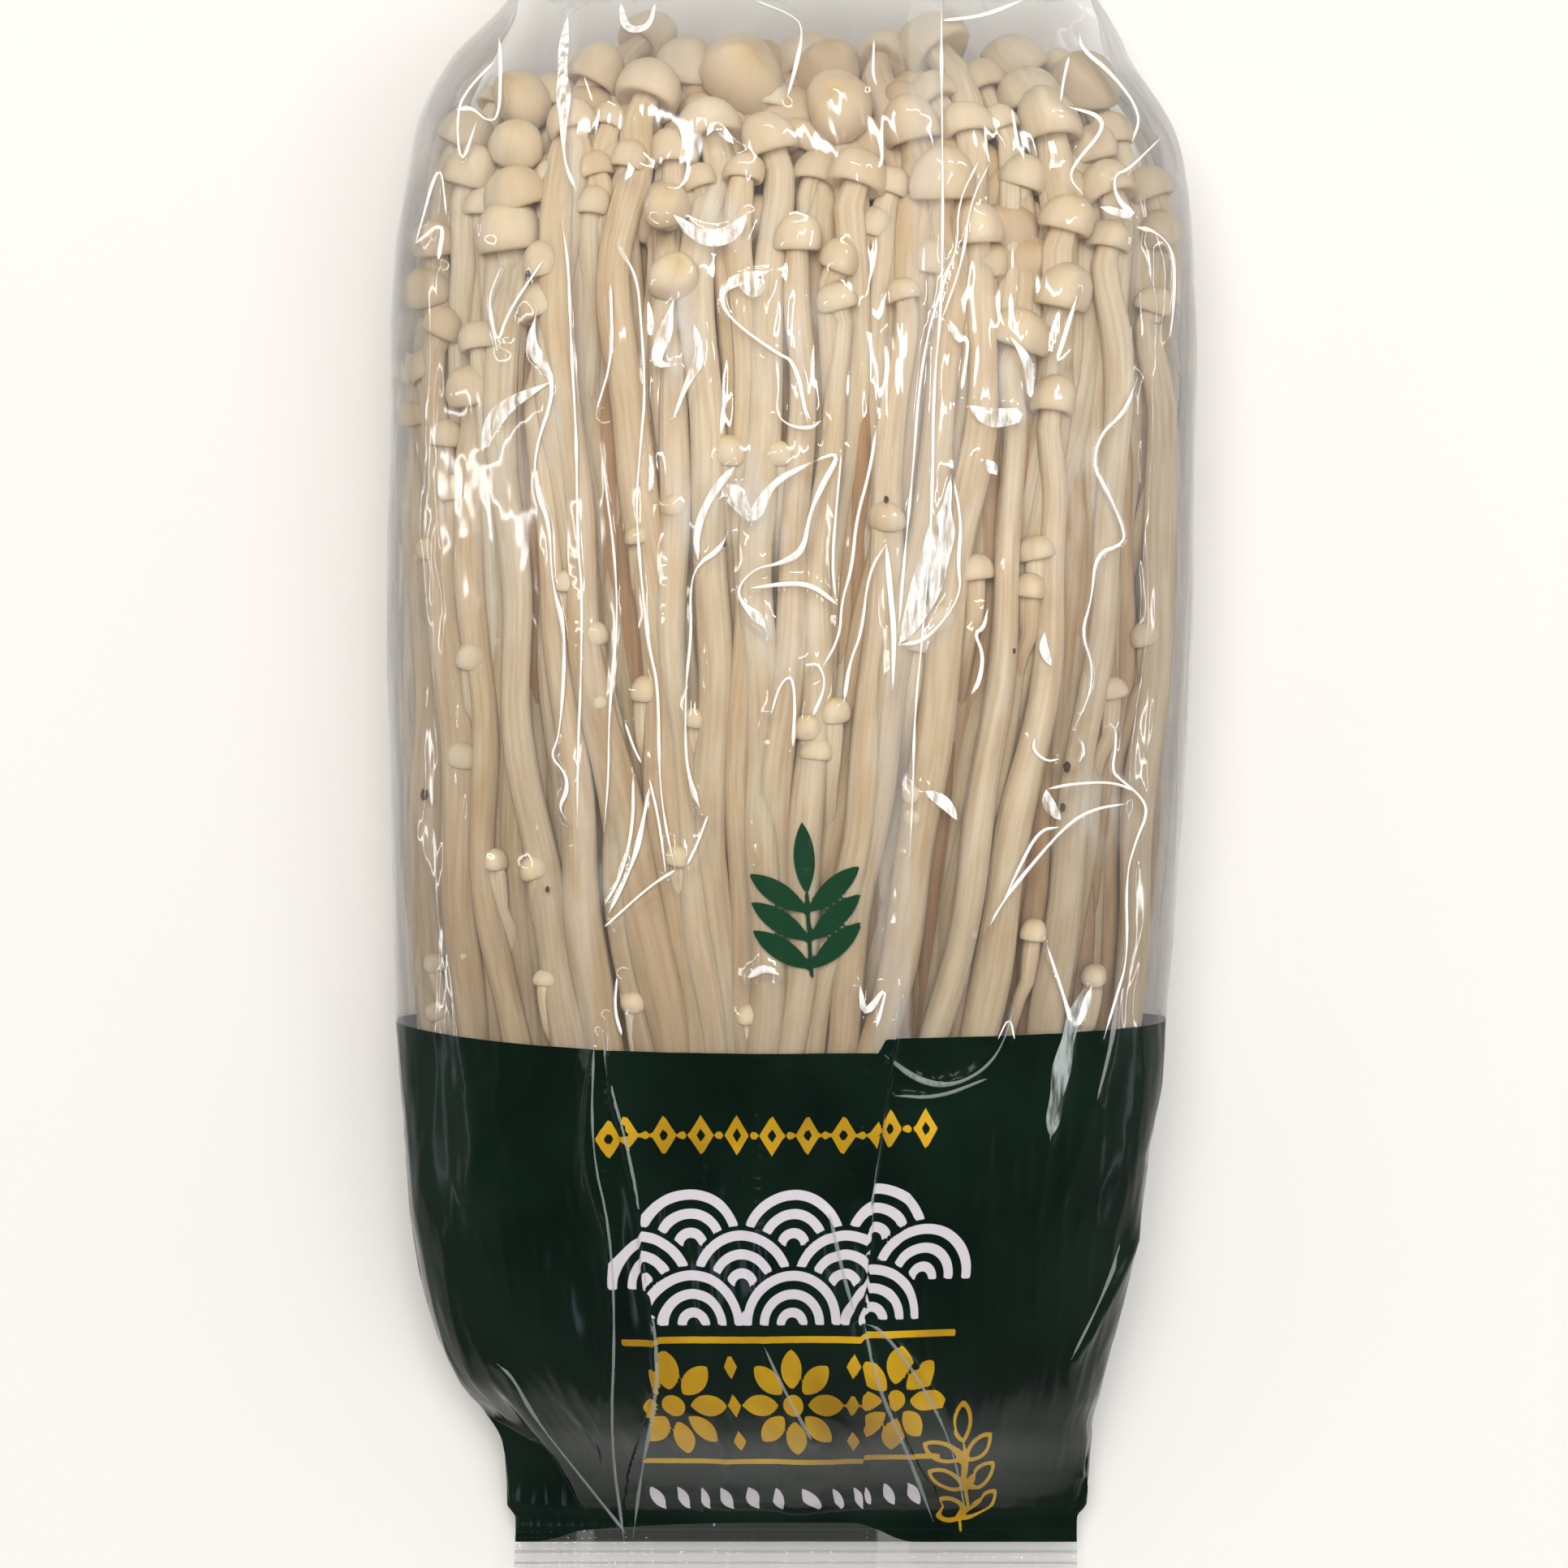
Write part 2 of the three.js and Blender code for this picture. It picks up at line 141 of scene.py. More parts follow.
# %% [markdown]
# ## Where each mushroom grows
#
# Enoki stems hardly branch or cross. They leave the root side by side, run up nearly parallel and end
# at different heights. So the caps on the front are listed, and a rule grows the stems: going up
# from the lowest cap, each one with room beside the others gets a stem just under the film, and the rest
# run behind those. Further rows fill the bag behind them, with their caps scattered by a seeded draw.
#
# The list gives places as they show from above, on the level of half the bag's height. What lies nearer
# to the camera shows larger, so each place is carried down to the cap's own depth before it is used.

# %% Caps on the front, as seen from above: x, y, diameter, tilt of the face, and how far behind, 0 to 2
FRONT_CAPS = [
    (-17.4, 87, 7.7, 0, 1), (-12.8, 83.5, 8.2, 20, 1), (-6.1, 83.4, 10.2, 66, 0), (2.1, 84.5, 9, 15, 1),
    (-24.1, 83, 6.8, 10, 0), (-32.4, 80, 7.4, 46, 0), (-17.6, 80.8, 8.4, 0, 0), (-41.2, 75.5, 6.8, 20, 0),
    (-33.6, 74.2, 6.6, 35, 0), (-26.9, 76.8, 6.4, 5, 0), (-22.4, 76.7, 5, 0, 1), (-9.6, 76.3, 8.4, 5, 0),
    (-39.6, 70.7, 6.3, 0, 0), (-33.4, 68, 7.8, 10, 0), (-23.9, 71, 4, 0, 1), (-14.4, 72.8, 6.2, 0, 1),
    (-6.1, 70.7, 4.8, 0, 0), (-2.4, 74.7, 7.2, 0, 0), (-15.4, 66.5, 5.5, 30, 0), (-24.6, 66.5, 4.6, 0, 1),
    (-34.6, 63.3, 8, 0, 0), (-43.9, 61.8, 5.5, 0, 0), (-30.6, 59.3, 5.7, 0, 0), (-44.6, 56.3, 6.5, 10, 0),
    (-14.6, 58.1, 5.9, 50, 0), (-30.4, 54.3, 6, 0, 0), (-43.1, 51.8, 5.4, 0, 0), (-38.4, 50, 5.4, 0, 0),
    (-44.9, 46.3, 5, 0, 0), (-39.4, 44, 6, 0, 0), (-35.1, 43.5, 4.6, 0, 1), (-46.6, 44.3, 4, 0, 1),
    (-46.4, 40.7, 4.2, 0, 0), (0.6, 62.5, 5.5, 0, 0), (-37.6, 79.5, 5.4, 0, 1), (-45.6, 70, 4.4, 0, 1),
    (5.6, 79.8, 8.6, 60, 0), (10.6, 85, 7.3, 0, 1), (17.6, 86.3, 8.9, 15, 0), (27.1, 83.8, 8.3, 20, 1),
    (28.6, 80.3, 7.9, 25, 0.5), (37.9, 81.5, 8.8, 30, 0), (32.9, 84, 4, 0, 1), (17.4, 80, 7.5, 0, 1),
    (14.6, 76.3, 7.4, 5, 0), (21.4, 76.5, 6.8, 10, 0), (25.6, 76.7, 4.6, 0, 1), (31.4, 76.8, 8.3, 0, 0),
    (7.9, 70.3, 6.9, -14, 0), (18.4, 69.5, 7.7, 5, 0), (22.9, 63.7, 6.4, 0, 0), (39.1, 69, 6.6, 0, 0),
    (44.6, 69, 5.8, 0, 0), (33.6, 65, 6.5, 0, 0), (38.9, 62.5, 5.4, 0, 0), (45.9, 63.5, 5.5, 0, 0),
    (5.6, 60, 5.1, 0, 0), (5.6, 55, 4.7, 0, 0), (23.9, 59.3, 4.9, 10, 1), (13.9, 55.8, 4.2, 0, 0),
    (17.4, 59.5, 5.7, 0, 1), (33.1, 56, 7.4, 0, 0), (44.4, 54.5, 4.6, 0, 0), (27.9, 51, 7.2, 0, 0),
    (31.9, 42.5, 5.8, 0, 0), (19.9, 51.5, 3.9, 0, 1), (-11, 69.5, 4.6, 0, 1), (12, 69, 5, 0, 1),
    (-20, 72, 5, 0, 1), (37, 73.5, 6, 0, 1), (-29, 70, 5, 0, 1), (-2.5, 79, 7, 0, 1.5), (23, 81.5, 7, 0, 1.5),
    (-28.5, 79.5, 6.5, 0, 1.5), (42.5, 75.5, 5.6, 10, 1), (-38, 66.5, 5, 0, 1), (28, 70, 6, 0, 1.5),
    (2.5, 70.5, 5.5, 0, 1.5), (-8.5, 62, 4.8, 0, 1.5), (10, 64, 5, 0, 1.5),
]
# Young mushrooms that come up between the long stems, as seen from above: x, y, diameter.
BUDS = [
    (-42.9, 38, 4.4), (-41.6, 31.5, 4.4), (-44.1, 24, 3.2), (-27.6, 20, 3.6), (-7.9, 36, 4.2),
    (-14.4, 29.5, 3.8), (-1.6, 35.5, 3.4), (-18.9, 25.5, 2.8), (-39.6, 10.7, 4.2), (-40.6, -1.5, 4),
    (-23.9, 13.5, 3.2), (-23.4, 5.2, 2.8), (-18.2, 6.5, 3.4), (46.9, 38.5, 3.4), (30.4, 24, 4.6),
    (29.4, 19.3, 4.4), (22.6, 21.5, 4.8), (18.9, 15.5, 5), (15.1, 13, 4.6), (11.9, 28, 4.6),
    (45.4, 19.3, 4), (44.1, 13.5, 4.4), (39.4, 6.8, 4), (5.1, 4, 3.8), (1.9, 2, 3.4), (2.9, -0.8, 4),
    (14.9, -6, 3), (14.9, -9, 3.1), (-36.1, -14.5, 3), (-31.4, -15.4, 3.4), (-43.4, -27, 2.8),
    (-39.6, -26, 2.6), (-30, -28.8, 3), (-43, -33, 2.6), (-14, -14, 2.8), (-19.3, -31.7, 3.2),
    (-5.4, -33.2, 3.2), (-12, 3, 2.6), (21.1, -23, 3), (29.4, -23.2, 3.4), (36.9, -28.5, 3.4),
]
print(len(FRONT_CAPS), "caps and", len(BUDS), "young ones on the front")

# %% Seeded scatter, the same on every run
def scatter(index, channel):
    """An even scatter from 0 to 1, over an array. The numbers are the usual ones for a hash by sine."""
    v = np.sin(index * 12.9898 + channel * 78.233) * 43758.5453
    return v - np.floor(v)


def draw(index, channel):
    """One number from 0 to 1. Each channel draws for one purpose."""
    return float(scatter(index, channel))


print("a draw:", round(draw(1, 1), 3))

# %% [markdown]
# ## One mushroom
#
# A stem is a slightly flattened, slightly wavy tube, and a cap is a dome with its rim rolled under. Both
# could come from separate primitives, but a real stem runs into its cap, so one loft makes the whole
# mushroom: rings of points along a path, first round the stem and then over the cap.
#
# First comes the path. The stem keeps to a lane, a share of the bag's half width, drifts from its own lane
# to its cap's on the way up, sways a little, and bends into the cap's axis just under it.

# %% Outline of a cap, as radius and height in diameters above the neck
CAP_OUTLINE = np.array([
    (0.27, -0.02), (0.37, -0.075), (0.44, -0.09), (0.485, -0.05), (0.5, 0.04), (0.492, 0.15),
    (0.458, 0.27), (0.39, 0.385), (0.285, 0.475), (0.155, 0.53), (0.05, 0.55),
])
NECK_LENGTH = 0.45  # of the straight stem under a cap, in diameters
CROWN_SINK = 3.2  # the caps near the rounded end of the bag lie this much deeper
ROW_SINK = 2.6  # from one row of caps to the row behind it
LANE_LIMIT = 0.985  # share of the half width that the outermost stems keep to
BEND_LENGTH = 9.0  # of the stretch over which a stem bends into its cap's axis
FULL_TURN = 2 * math.pi
print("cap outline has", len(CAP_OUTLINE), "rings")


def unit(v):
    """Vectors scaled to length 1."""
    return v / np.maximum(1e-9, np.linalg.norm(v, axis=-1, keepdims=True))


# %% Where a cap lies, under the point where it shows
def under_view(x, y, depth):
    """The real x and y, at depth under the front, of what shows at x and y on the middle level."""
    real_x, real_y = x, y
    for _ in range(4):
        half_width, middle, half_height = section(real_y, depth)
        share = min(0.97, abs(real_x) / float(half_width))
        z = float(middle + half_height * (1 - share**SQUARENESS) ** (1 / SQUARENESS))
        zoom = (VIEW_DISTANCE + VIEW_LEVEL - z) / VIEW_DISTANCE
        real_x = VIEW_CENTRE[0] + (x - VIEW_CENTRE[0]) * zoom - float(profile(SWAY, real_y))
        real_y = VIEW_CENTRE[1] + (y - VIEW_CENTRE[1]) * zoom
    return real_x, real_y


def cap_depth_at(y, diameter, behind):
    """How deep the neck of a cap lies: half a cap under the film, deeper where the crown rounds off."""
    return FILM + 0.3 + 0.5 * diameter + CROWN_SINK * float(smooth(62, 86, y)) + ROW_SINK * behind


print("a cap 8 mm wide lies", round(cap_depth_at(40, 8, 0), 1), "mm deep")

# %% The middle line of one mushroom
def grow(start_y, start_depth, lane, side, run_depth, cap, rings, wander, number):
    """The middle line of one mushroom up to its neck, and where its cap looks."""
    x, y, diameter, tilt, behind = cap
    cap_depth = cap_depth_at(y, diameter, behind)
    neck_y = y - 0.22 * diameter
    end_lane = float(np.clip(x / section(y, cap_depth)[0], -LANE_LIMIT, LANE_LIMIT))
    phase = 6.28 * draw(number, 5)
    pace = 9 + 8 * draw(number, 6)
    halfway = 0.2 + 0.5 * draw(number, 7)

    def at(y_here):
        """Points of the stem at heights y_here."""
        going = smooth(start_y, neck_y, y_here)
        going = going + 0.35 * (halfway - 0.45) * np.sin(math.pi * going) ** 2
        rooted = start_depth + (run_depth - start_depth) * smooth(start_y + 4, start_y + 28, y_here)
        depth = rooted + (cap_depth - rooted) * smooth(neck_y - 30, neck_y, y_here)
        fade = smooth(start_y, start_y + 25, y_here) * smooth(neck_y, neck_y - 12, y_here)
        sway = wander * np.sin(y_here / pace + phase) + 0.5 * wander * np.sin(y_here / 5.1 + 2.1 * phase)
        points = lane_point(y_here, depth, lane + (end_lane - lane) * going, side)
        points[..., 0] += sway * fade
        points[..., 2] += 0.3 * wander * np.cos(y_here / 7.3 + phase) * fade
        return points

    neck = at(np.array([neck_y]))[0]
    axis = unit(neck - at(np.array([neck_y - 6.0]))[0])
    lean = math.radians(tilt) + 0.5 * (draw(number, 10) - 0.35)
    lopsided = 0.75 * (draw(number, 8) - 0.5)
    axis = unit(axis * math.cos(lean) + np.array([lopsided, 0, side * math.sin(lean)]))
    bend = neck - NECK_LENGTH * diameter * axis
    line = at(np.linspace(start_y, bend[1], rings))
    # Close to the cap the stem bends from its own line into the cap's axis.
    ease = smooth(bend[1] - BEND_LENGTH, bend[1], line[:, 1])[:, None]
    line = line + (bend - line[-1]) * ease
    steps = np.linspace(0, 1, 5)[1:, None]
    return np.vstack([line, bend + (neck - bend) * steps]), axis


example_line, example_axis = grow(-78, 4.6, 0, 1, 2.3, (0, 80, 8, 0, 0), 40, 0.75, 0)
print("an example path runs from", example_line[0].round(1), "to", example_line[-1].round(1))

# %% [markdown]
# Every crop of mushrooms gathers its lofts in one set of points and faces. The rings carry three attributes
# for the material: how far up the mushroom a point is, how far from the middle of the cap, and a coordinate
# that runs with the flesh's long fibres. A fourth, the tone, is one draw for each mushroom.

# %% A crop of many mushrooms
class Crop:
    """Vertices, faces and attributes of many mushrooms, gathered for one mesh."""

    def __init__(self):
        """An empty crop."""
        self.points, self.quads, self.tris = [], [], []
        self.growth, self.centre, self.tone, self.grain = [], [], [], []
        self.count = 0

    def add(self, rings, growth, centre, grain, tone):
        """Adds a closed loft from an array of rings: (ring, point on the ring, xyz)."""
        n, sides, _ = rings.shape
        ends = np.stack([rings[0].mean(axis=0), rings[-1].mean(axis=0)])
        first = self.count
        a = first + np.arange((n - 1) * sides)
        b = first + np.arange(n - 1)[:, None] * sides + (np.arange(sides) + 1) % sides
        b = b.ravel()
        self.quads.append(np.stack([a, b, b + sides, a + sides], axis=1))
        low, high = first + n * sides, first + n * sides + 1
        i = first + np.arange(sides)
        j = first + (np.arange(sides) + 1) % sides
        top = (n - 1) * sides
        self.tris.append(np.stack([np.full(sides, low), j, i], axis=1))
        self.tris.append(np.stack([np.full(sides, high), top + i, top + j], axis=1))
        self.points.append(np.vstack([rings.reshape(-1, 3), ends]))
        self.growth.append(np.concatenate([np.repeat(growth, sides), growth[[0, -1]]]))
        self.centre.append(np.concatenate([np.repeat(centre, sides), centre[[0, -1]]]))
        self.grain.append(np.vstack([grain.reshape(-1, 3), grain[[0, -1]].mean(axis=1)]))
        self.tone.append(np.full(n * sides + 2, tone))
        self.count += n * sides + 2


print("a crop holds:", ", ".join(vars(Crop())))

# %% Rings of a stem and of a cap
def lobed(angle, number, channel, two, three):
    """The radius of a circle that is pressed into two and three shallow lobes, turned by a draw."""
    return (1 + two * np.cos(2 * angle + 6 * draw(number, channel))
            + three * np.cos(3 * angle + 6 * draw(number, channel + 1)))


def carry(line, axis):
    """Directions across and up from a middle line, carried along it without twist."""
    tangent = unit(np.gradient(line, axis=0))
    tangent[-1] = axis
    across = np.empty_like(line)
    carried = unit(np.cross(tangent[0], [0, 0, 1]))
    for i, ahead in enumerate(tangent):
        carried = unit(carried - ahead * np.dot(carried, ahead))
        across[i] = carried
    return across, np.cross(across, tangent)


def stem_rings(line, across, up, length, radius, angle, number):
    """Rings of a stem that swells, thins and flattens along its length."""
    swell = 1 + 0.09 * np.sin(length / (11 + 9 * draw(number, 31)) + 6 * draw(number, 32))
    swell = swell + 0.04 * np.sin(length / 3.1 + 6 * draw(number, 33))
    flat = 0.14 + 0.2 * (draw(number, 34) - 0.35) + 0.1 * np.sin(length / 17 + 6 * draw(number, 35))
    flat = flat * smooth(1, 0.85, np.linspace(0, 1, len(line)))
    lobes = lobed(angle, number, 36, 0.05, 0.045)
    wide = (radius * swell * (1 + flat))[:, None] * lobes * np.cos(angle)
    deep = (radius * swell * (1 - flat))[:, None] * lobes * np.sin(angle)
    return line[:, None] + wide[..., None] * across[:, None] + deep[..., None] * up[:, None]


def cap_rings(neck, axis, across, up, diameter, neck_radius, angle, number):
    """Rings of a cap: its outline turned round the axis, a little lopsided."""
    height = diameter * (0.98 + 0.34 * draw(number, 38))
    radius = np.maximum(CAP_OUTLINE[:, 0] * diameter, neck_radius * 1.06 * (CAP_OUTLINE[:, 1] < 0))
    tipped = 0.12 * (draw(number, 41) - 0.5) * diameter
    middle = neck + axis * (CAP_OUTLINE[:, 1] * height)[:, None]
    middle = middle + across * (tipped * smooth(0, 0.5, CAP_OUTLINE[:, 1]))[:, None]
    ring = radius[:, None] * lobed(angle, number, 39, 0.07, 0.04)
    cap = middle[:, None] + (ring * np.cos(angle))[..., None] * across
    return cap + (ring * np.sin(angle))[..., None] * up


print("a circle with lobes:", lobed(FULL_TURN * np.arange(4) / 4, 0, 36, 0.05, 0.045).round(3))

# %% Loft one mushroom round its middle line
def loft_mushroom(crop, line, axis, low_radius, diameter, sides, number):
    """Lofts a stem and its cap into the crop."""
    n = len(line)
    across, up = carry(line, axis)
    share = np.linspace(0, 1, n)
    length = np.concatenate([[0], np.cumsum(np.linalg.norm(np.diff(line, axis=0), axis=1))])
    neck_radius = 0.72 + 0.125 * diameter
    radius = low_radius + (neck_radius - low_radius) * smooth(0.3, 1, share)
    angle = -FULL_TURN * np.arange(sides) / sides
    stem = stem_rings(line, across, up, length, radius, angle, number)
    cap = cap_rings(line[-1], axis, across[-1], up[-1], diameter, neck_radius, angle, number)

    rings = np.concatenate([stem, cap])
    growth = np.concatenate([0.9 * share, np.full(len(cap), 1.0)])
    centre = np.concatenate([np.full(n, 1.0), CAP_OUTLINE[:, 0] * 2])
    centre[n:n + 3] = 1.0
    along = np.concatenate([length, length[-1] + np.arange(1, len(cap) + 1) * 0.07 * diameter])
    offset = 37.0 * draw(number, 42)
    grain = np.empty((len(rings), sides, 3))
    grain[..., 0] = 1.5 * np.cos(angle) + offset
    grain[..., 1] = 1.5 * np.sin(angle) + 2 * offset
    grain[..., 2] = along[:, None]
    crop.add(rings, growth, centre, grain, draw(number, 43))


example = Crop()
loft_mushroom(example, example_line, example_axis, 1.4, 8, 18, 0)
print("an example mushroom has", example.count, "points")

# %% [markdown]
# ## The rows of the bunch
#
# The bunch is grown row by row from the film inwards. Only the outer rows need their whole stems. A row
# deep inside shows its caps alone, between those in front, so its stems start halfway up.

# %% Grow the front
ROOT_Y = -78.0  # where the stems leave the clump
INNER_START_Y = -62.0  # where stems behind others come into view
STEM_PITCH = 2.8
OUTER_DEPTH = 2.3
ROW_STEP = 3.0
# Radius at the root: the least, and what a draw adds to it. Then how far a stem wanders sideways.
OUTER_RADIUS, OUTER_RADIUS_DRAW, OUTER_WANDER = 1.35, 0.8, 0.75
INNER_RADIUS, INNER_RADIUS_DRAW, INNER_WANDER = 1.3, 0.7, 0.7
ROW_RADIUS, ROW_WANDER = 1.5, 0.6
# Height of the crown line at each distance from the middle.
CROWN = [(0, 84.5), (20, 84), (30, 81.5), (38, 77.5), (43, 73), (47, 66)]
LEAN_RIGHT, LEAN_LEFT = 0.4, 0.17
LANE_INSET = 5  # from the bag's edge to where the lanes of straight stems end


def split_outer(caps):
    """Going up from the lowest cap, those with room beside the others, sorted by x, and the rest."""
    outer, inner = [], []
    for cap in sorted(caps, key=lambda c: c[1]):
        free = cap[4] < 1 and all(abs(other[0] - cap[0]) >= STEM_PITCH for other in outer)
        (outer if free else inner).append(cap)
    return sorted(outer), inner


def plant(crop, cap, lane, side, depth, start_y, start_depth, rings, sides, low_radius, wander, number):
    """Grows one mushroom and lofts it into the crop."""
    line, axis = grow(start_y, start_depth, lane, side, depth, cap, rings, wander, number)
    loft_mushroom(crop, line, axis, low_radius, cap[2], sides, number)


def own_lane(cap):
    """The lane that leads straight up to a cap."""
    return cap[0] / (float(profile(HALF_WIDTH, cap[1])) - LANE_INSET)


def leaning(lane):
    """Stems fan out on their way up: all but the outermost start nearer to the middle than they end."""
    right = LEAN_RIGHT * math.exp(-(((lane - 0.5) / 0.42) ** 2)) * float(smooth(0.95, 0.8, lane))
    left = LEAN_LEFT * math.exp(-(((lane + 0.5) / 0.3) ** 2))
    return lane - right + left


front = Crop()
placed = [(*under_view(x, y, cap_depth_at(y, d, behind)), d, tilt, behind)
          for x, y, d, tilt, behind in FRONT_CAPS]
outer, inner = split_outer(placed)
for k, cap in enumerate(outer):
    even = -LANE_LIMIT + 2 * LANE_LIMIT * (k + 0.5) / len(outer)
    run_depth = OUTER_DEPTH + 0.9 * draw(k, 9)
    low_radius = OUTER_RADIUS + OUTER_RADIUS_DRAW * draw(k, 44)
    plant(front, cap, leaning(even), 1, run_depth, ROOT_Y, 4.6, 40, 18, low_radius, OUTER_WANDER, k)
for k, cap in enumerate(inner):
    run_depth = OUTER_DEPTH + ROW_STEP * (1 + 0.4 * cap[4])
    low_radius = INNER_RADIUS + INNER_RADIUS_DRAW * draw(k, 45)
    lane = leaning(own_lane(cap))
    plant(front, cap, lane, 1, run_depth, INNER_START_Y, 8, 32, 14, low_radius, INNER_WANDER, 100 + k)
print("front:", len(outer), "outer and", len(inner), "inner mushrooms,", front.count, "points")

# %% [markdown]
# The young mushrooms never reached the light. Each is a thin stem that comes up out of the gaps, with a
# round little cap against the film, so its path is short and starts deep.

# %% Grow the young ones
BUD_RADIUS, BUD_SIDES = 0.8, 14

buds = Crop()
for k, (seen_x, seen_y, diameter) in enumerate(BUDS):
    x, y = under_view(seen_x, seen_y, 3)
    lane = float(np.clip(x / section(y, 3)[0], -0.96, 0.96))
    foot = np.linspace(y - 22, y - 8, 6)
    neck = np.linspace(y - 6, y - 0.2 * diameter, 5)
    line = np.vstack([
        lane_point(foot, np.linspace(7.5, 3.6, 6), lane * 0.985, 1),
        lane_point(neck, np.linspace(3.1, 0.95 + 0.5 * diameter, 5), lane, 1),
    ])
    sideways = 0.5 * (draw(k, 50) - 0.5)
    bud_axis = unit(unit(line[-1] - line[-3]) + np.array([sideways, 0, 0.45 * draw(k, 51)]))
    loft_mushroom(buds, line, bud_axis, BUD_RADIUS, diameter, BUD_SIDES, 300 + k)
print("young ones:", buds.count, "points")

# %% [markdown]
# Behind the front row, caps fill the crown of the bunch one row after another, and the underside has rows of
# its own. Nobody counts these, so one rule spreads each row evenly and a seeded draw breaks it up.

# %% Grow the rows behind and the underside
ROW_LANE, ROW_HALF_WIDTH = 0.97, 43.5
SMALL_CAP, CAP_DRAW = 4.8, 3.6  # the least diameter, and what a draw adds to it


def grow_row(crop, side, count, depth, behind, low, high, start_y, rings, sides, channel):
    """A row of even stems whose caps stand between low and high millimetres under the crown line."""
    for k in range(count):
        lane = -ROW_LANE + 2 * ROW_LANE * (k + 0.2 + 0.6 * draw(k, channel)) / count
        x = lane * ROW_HALF_WIDTH
        y = float(profile(CROWN, abs(x))) - low - (high - low) * draw(k, channel + 1)
        diameter = SMALL_CAP + CAP_DRAW * draw(k, channel + 2)
        x = lane * (float(profile(HALF_WIDTH, y)) - cap_depth_at(y, diameter, behind) - 1)
        tilt = 6 + 50 * draw(k, channel + 3) ** 2
        cap = (x, y, diameter, tilt, behind)
        plant(crop, cap, lane, side, depth, start_y, depth + 2, rings, sides, ROW_RADIUS, ROW_WANDER,
              17 * channel + k)


# Each row: stems, their depth, rows in front of the caps, nearest and furthest cap under the crown line,
# where the stems start, rings, sides, and the first channel of its draws.
ROWS_BEHIND = [
    (34, 6.2, 1.9, 2, 26, INNER_START_Y, 30, 12, 60), (32, 9.0, 2.8, 1, 20, INNER_START_Y, 26, 12, 70),
    (25, 12.0, 3.9, 0, 16, 22, 10, 12, 80), (22, 15.0, 5.2, 0, 14, 28, 9, 12, 90),
]
ROWS_AT_BACK = [
    (27, 2.8, 0, 8, 34, ROOT_Y, 34, 14, 110), (27, 5.9, 1.2, 3, 22, INNER_START_Y, 26, 12, 120),
    (25, 9.5, 2.4, 0, 14, 25, 10, 12, 130), (22, 12.5, 3.4, 0, 12, 30, 9, 12, 140),
]
behind, back = Crop(), Crop()
for crop, side, rows in ((behind, 1, ROWS_BEHIND), (back, -1, ROWS_AT_BACK)):
    for row in rows:
        grow_row(crop, side, *row)
print("behind:", behind.count, "points; back:", back.count, "points")

# %% [markdown]
# ## Root clump and pressed middle
#
# At the bottom the stems melt into one lumpy clump, and in the middle of the bunch they are pressed into
# a mass that only shows as a dark ribbed wall deep in the gaps. Both are lofts of the bag's own section,
# taken in by a depth that swells and sinks with each stem. Both get low tones, so they are painted dark
# brown as painted shade, over the browning that the stem colour gives near the root.

# %% Loft the clump and the middle
def ribbed_loft(crop, stations, count, ribs, rib_depth, number, tone):
    """A loft of the section through (y, depth) stations, ribbed lengthways."""
    angle = -FULL_TURN * np.arange(count) / count
    rings = []
    for y, depth in stations:
        wave = np.sin(ribs * angle + 2.5 * np.sin(3 * angle) + y / 23)
        inset = depth + rib_depth * (0.5 - 0.5 * wave) + 0.5 * rib_depth * np.sin(5 * angle + y / 6 + number)
        half_width, middle, half_height = section(y, inset)
        z = np.maximum(inset, middle + half_height * bulge(np.sin(angle)))
        rings.append(np.stack([half_width * bulge(np.cos(angle)), y + 0 * z, z], axis=-1))
    rings = np.array(rings)
    grain = rings.copy()
    grain[..., 2] = rings[..., 1]
    grain[..., 1] = rings[..., 2]
    growth = np.clip((np.array([s[0] for s in stations]) + 80) / 180, 0, 0.5)
    crop.add(rings, growth, np.ones(len(stations)), grain, tone)


clump = Crop()
root_y = np.linspace(-89, -60, 16)
root_depth = profile([(-89, 9), (-86, 4), (-80, 2.2), (-70, 1.8), (-64, 3.4), (-60, 8)], root_y)
ribbed_loft(clump, list(zip(root_y, root_depth)), 160, 34, 1.1, 0, 0.35)
middle_y = np.linspace(-64, 56, 26)
middle_depth = profile([(-64, 8), (-30, 8.5), (30, 9.5), (48, 12), (56, 16)], middle_y)
# The middle mass gets the lowest tone: its dark brown is painted shade deep in the gaps.
ribbed_loft(clump, list(zip(middle_y, middle_depth)), 180, 30, 1.6, 4, 0.2)
print("clump and middle:", clump.count, "points")

# %% [markdown]
# ## The film as a membrane
#
# The film is far too thin to model as a solid shell, and Blender's cloth would need minutes to settle a
# sheet this fine. It is a tube under slight inward pull with mushrooms in the way, so a membrane rule
# does the same job in seconds: every point moves to the mean of its neighbours, plus a little inwards,
# until it meets a cap or a stem. What comes out is film that drapes from cap to cap and shows the stems.
#
# The grid goes round the bag and along it. Columns are close on the front, which is seen most, and one
# row runs exactly along the edge of the print, so the two finishes meet in a clean line.

# %% The grid of the film tube
FRONT_COLUMNS = 300
BACK_COLUMNS = 86
FRONT_START, FRONT_STOP = -0.16, math.pi + 0.16  # angles round the section
WIDEST_Y = 20.0  # where the columns are evenly spaced
FOOT_ROWS, PRINT_ROWS, WINDOW_ROWS, HEAD_ROWS = 24, 200, 288, 40
PRINT_END, PRINT_END_RISE = -102.2, 2.6
CAVITY_END = 97.0
# y of the print's upper edge: along the sides, and on the front left and right of a tuck at EDGE_STEP_X.
PRINT_EDGE_SIDES, PRINT_EDGE_LEFT, PRINT_EDGE_RIGHT = -34.0, -36.9, -35.2
EDGE_STEP_X = 11.6


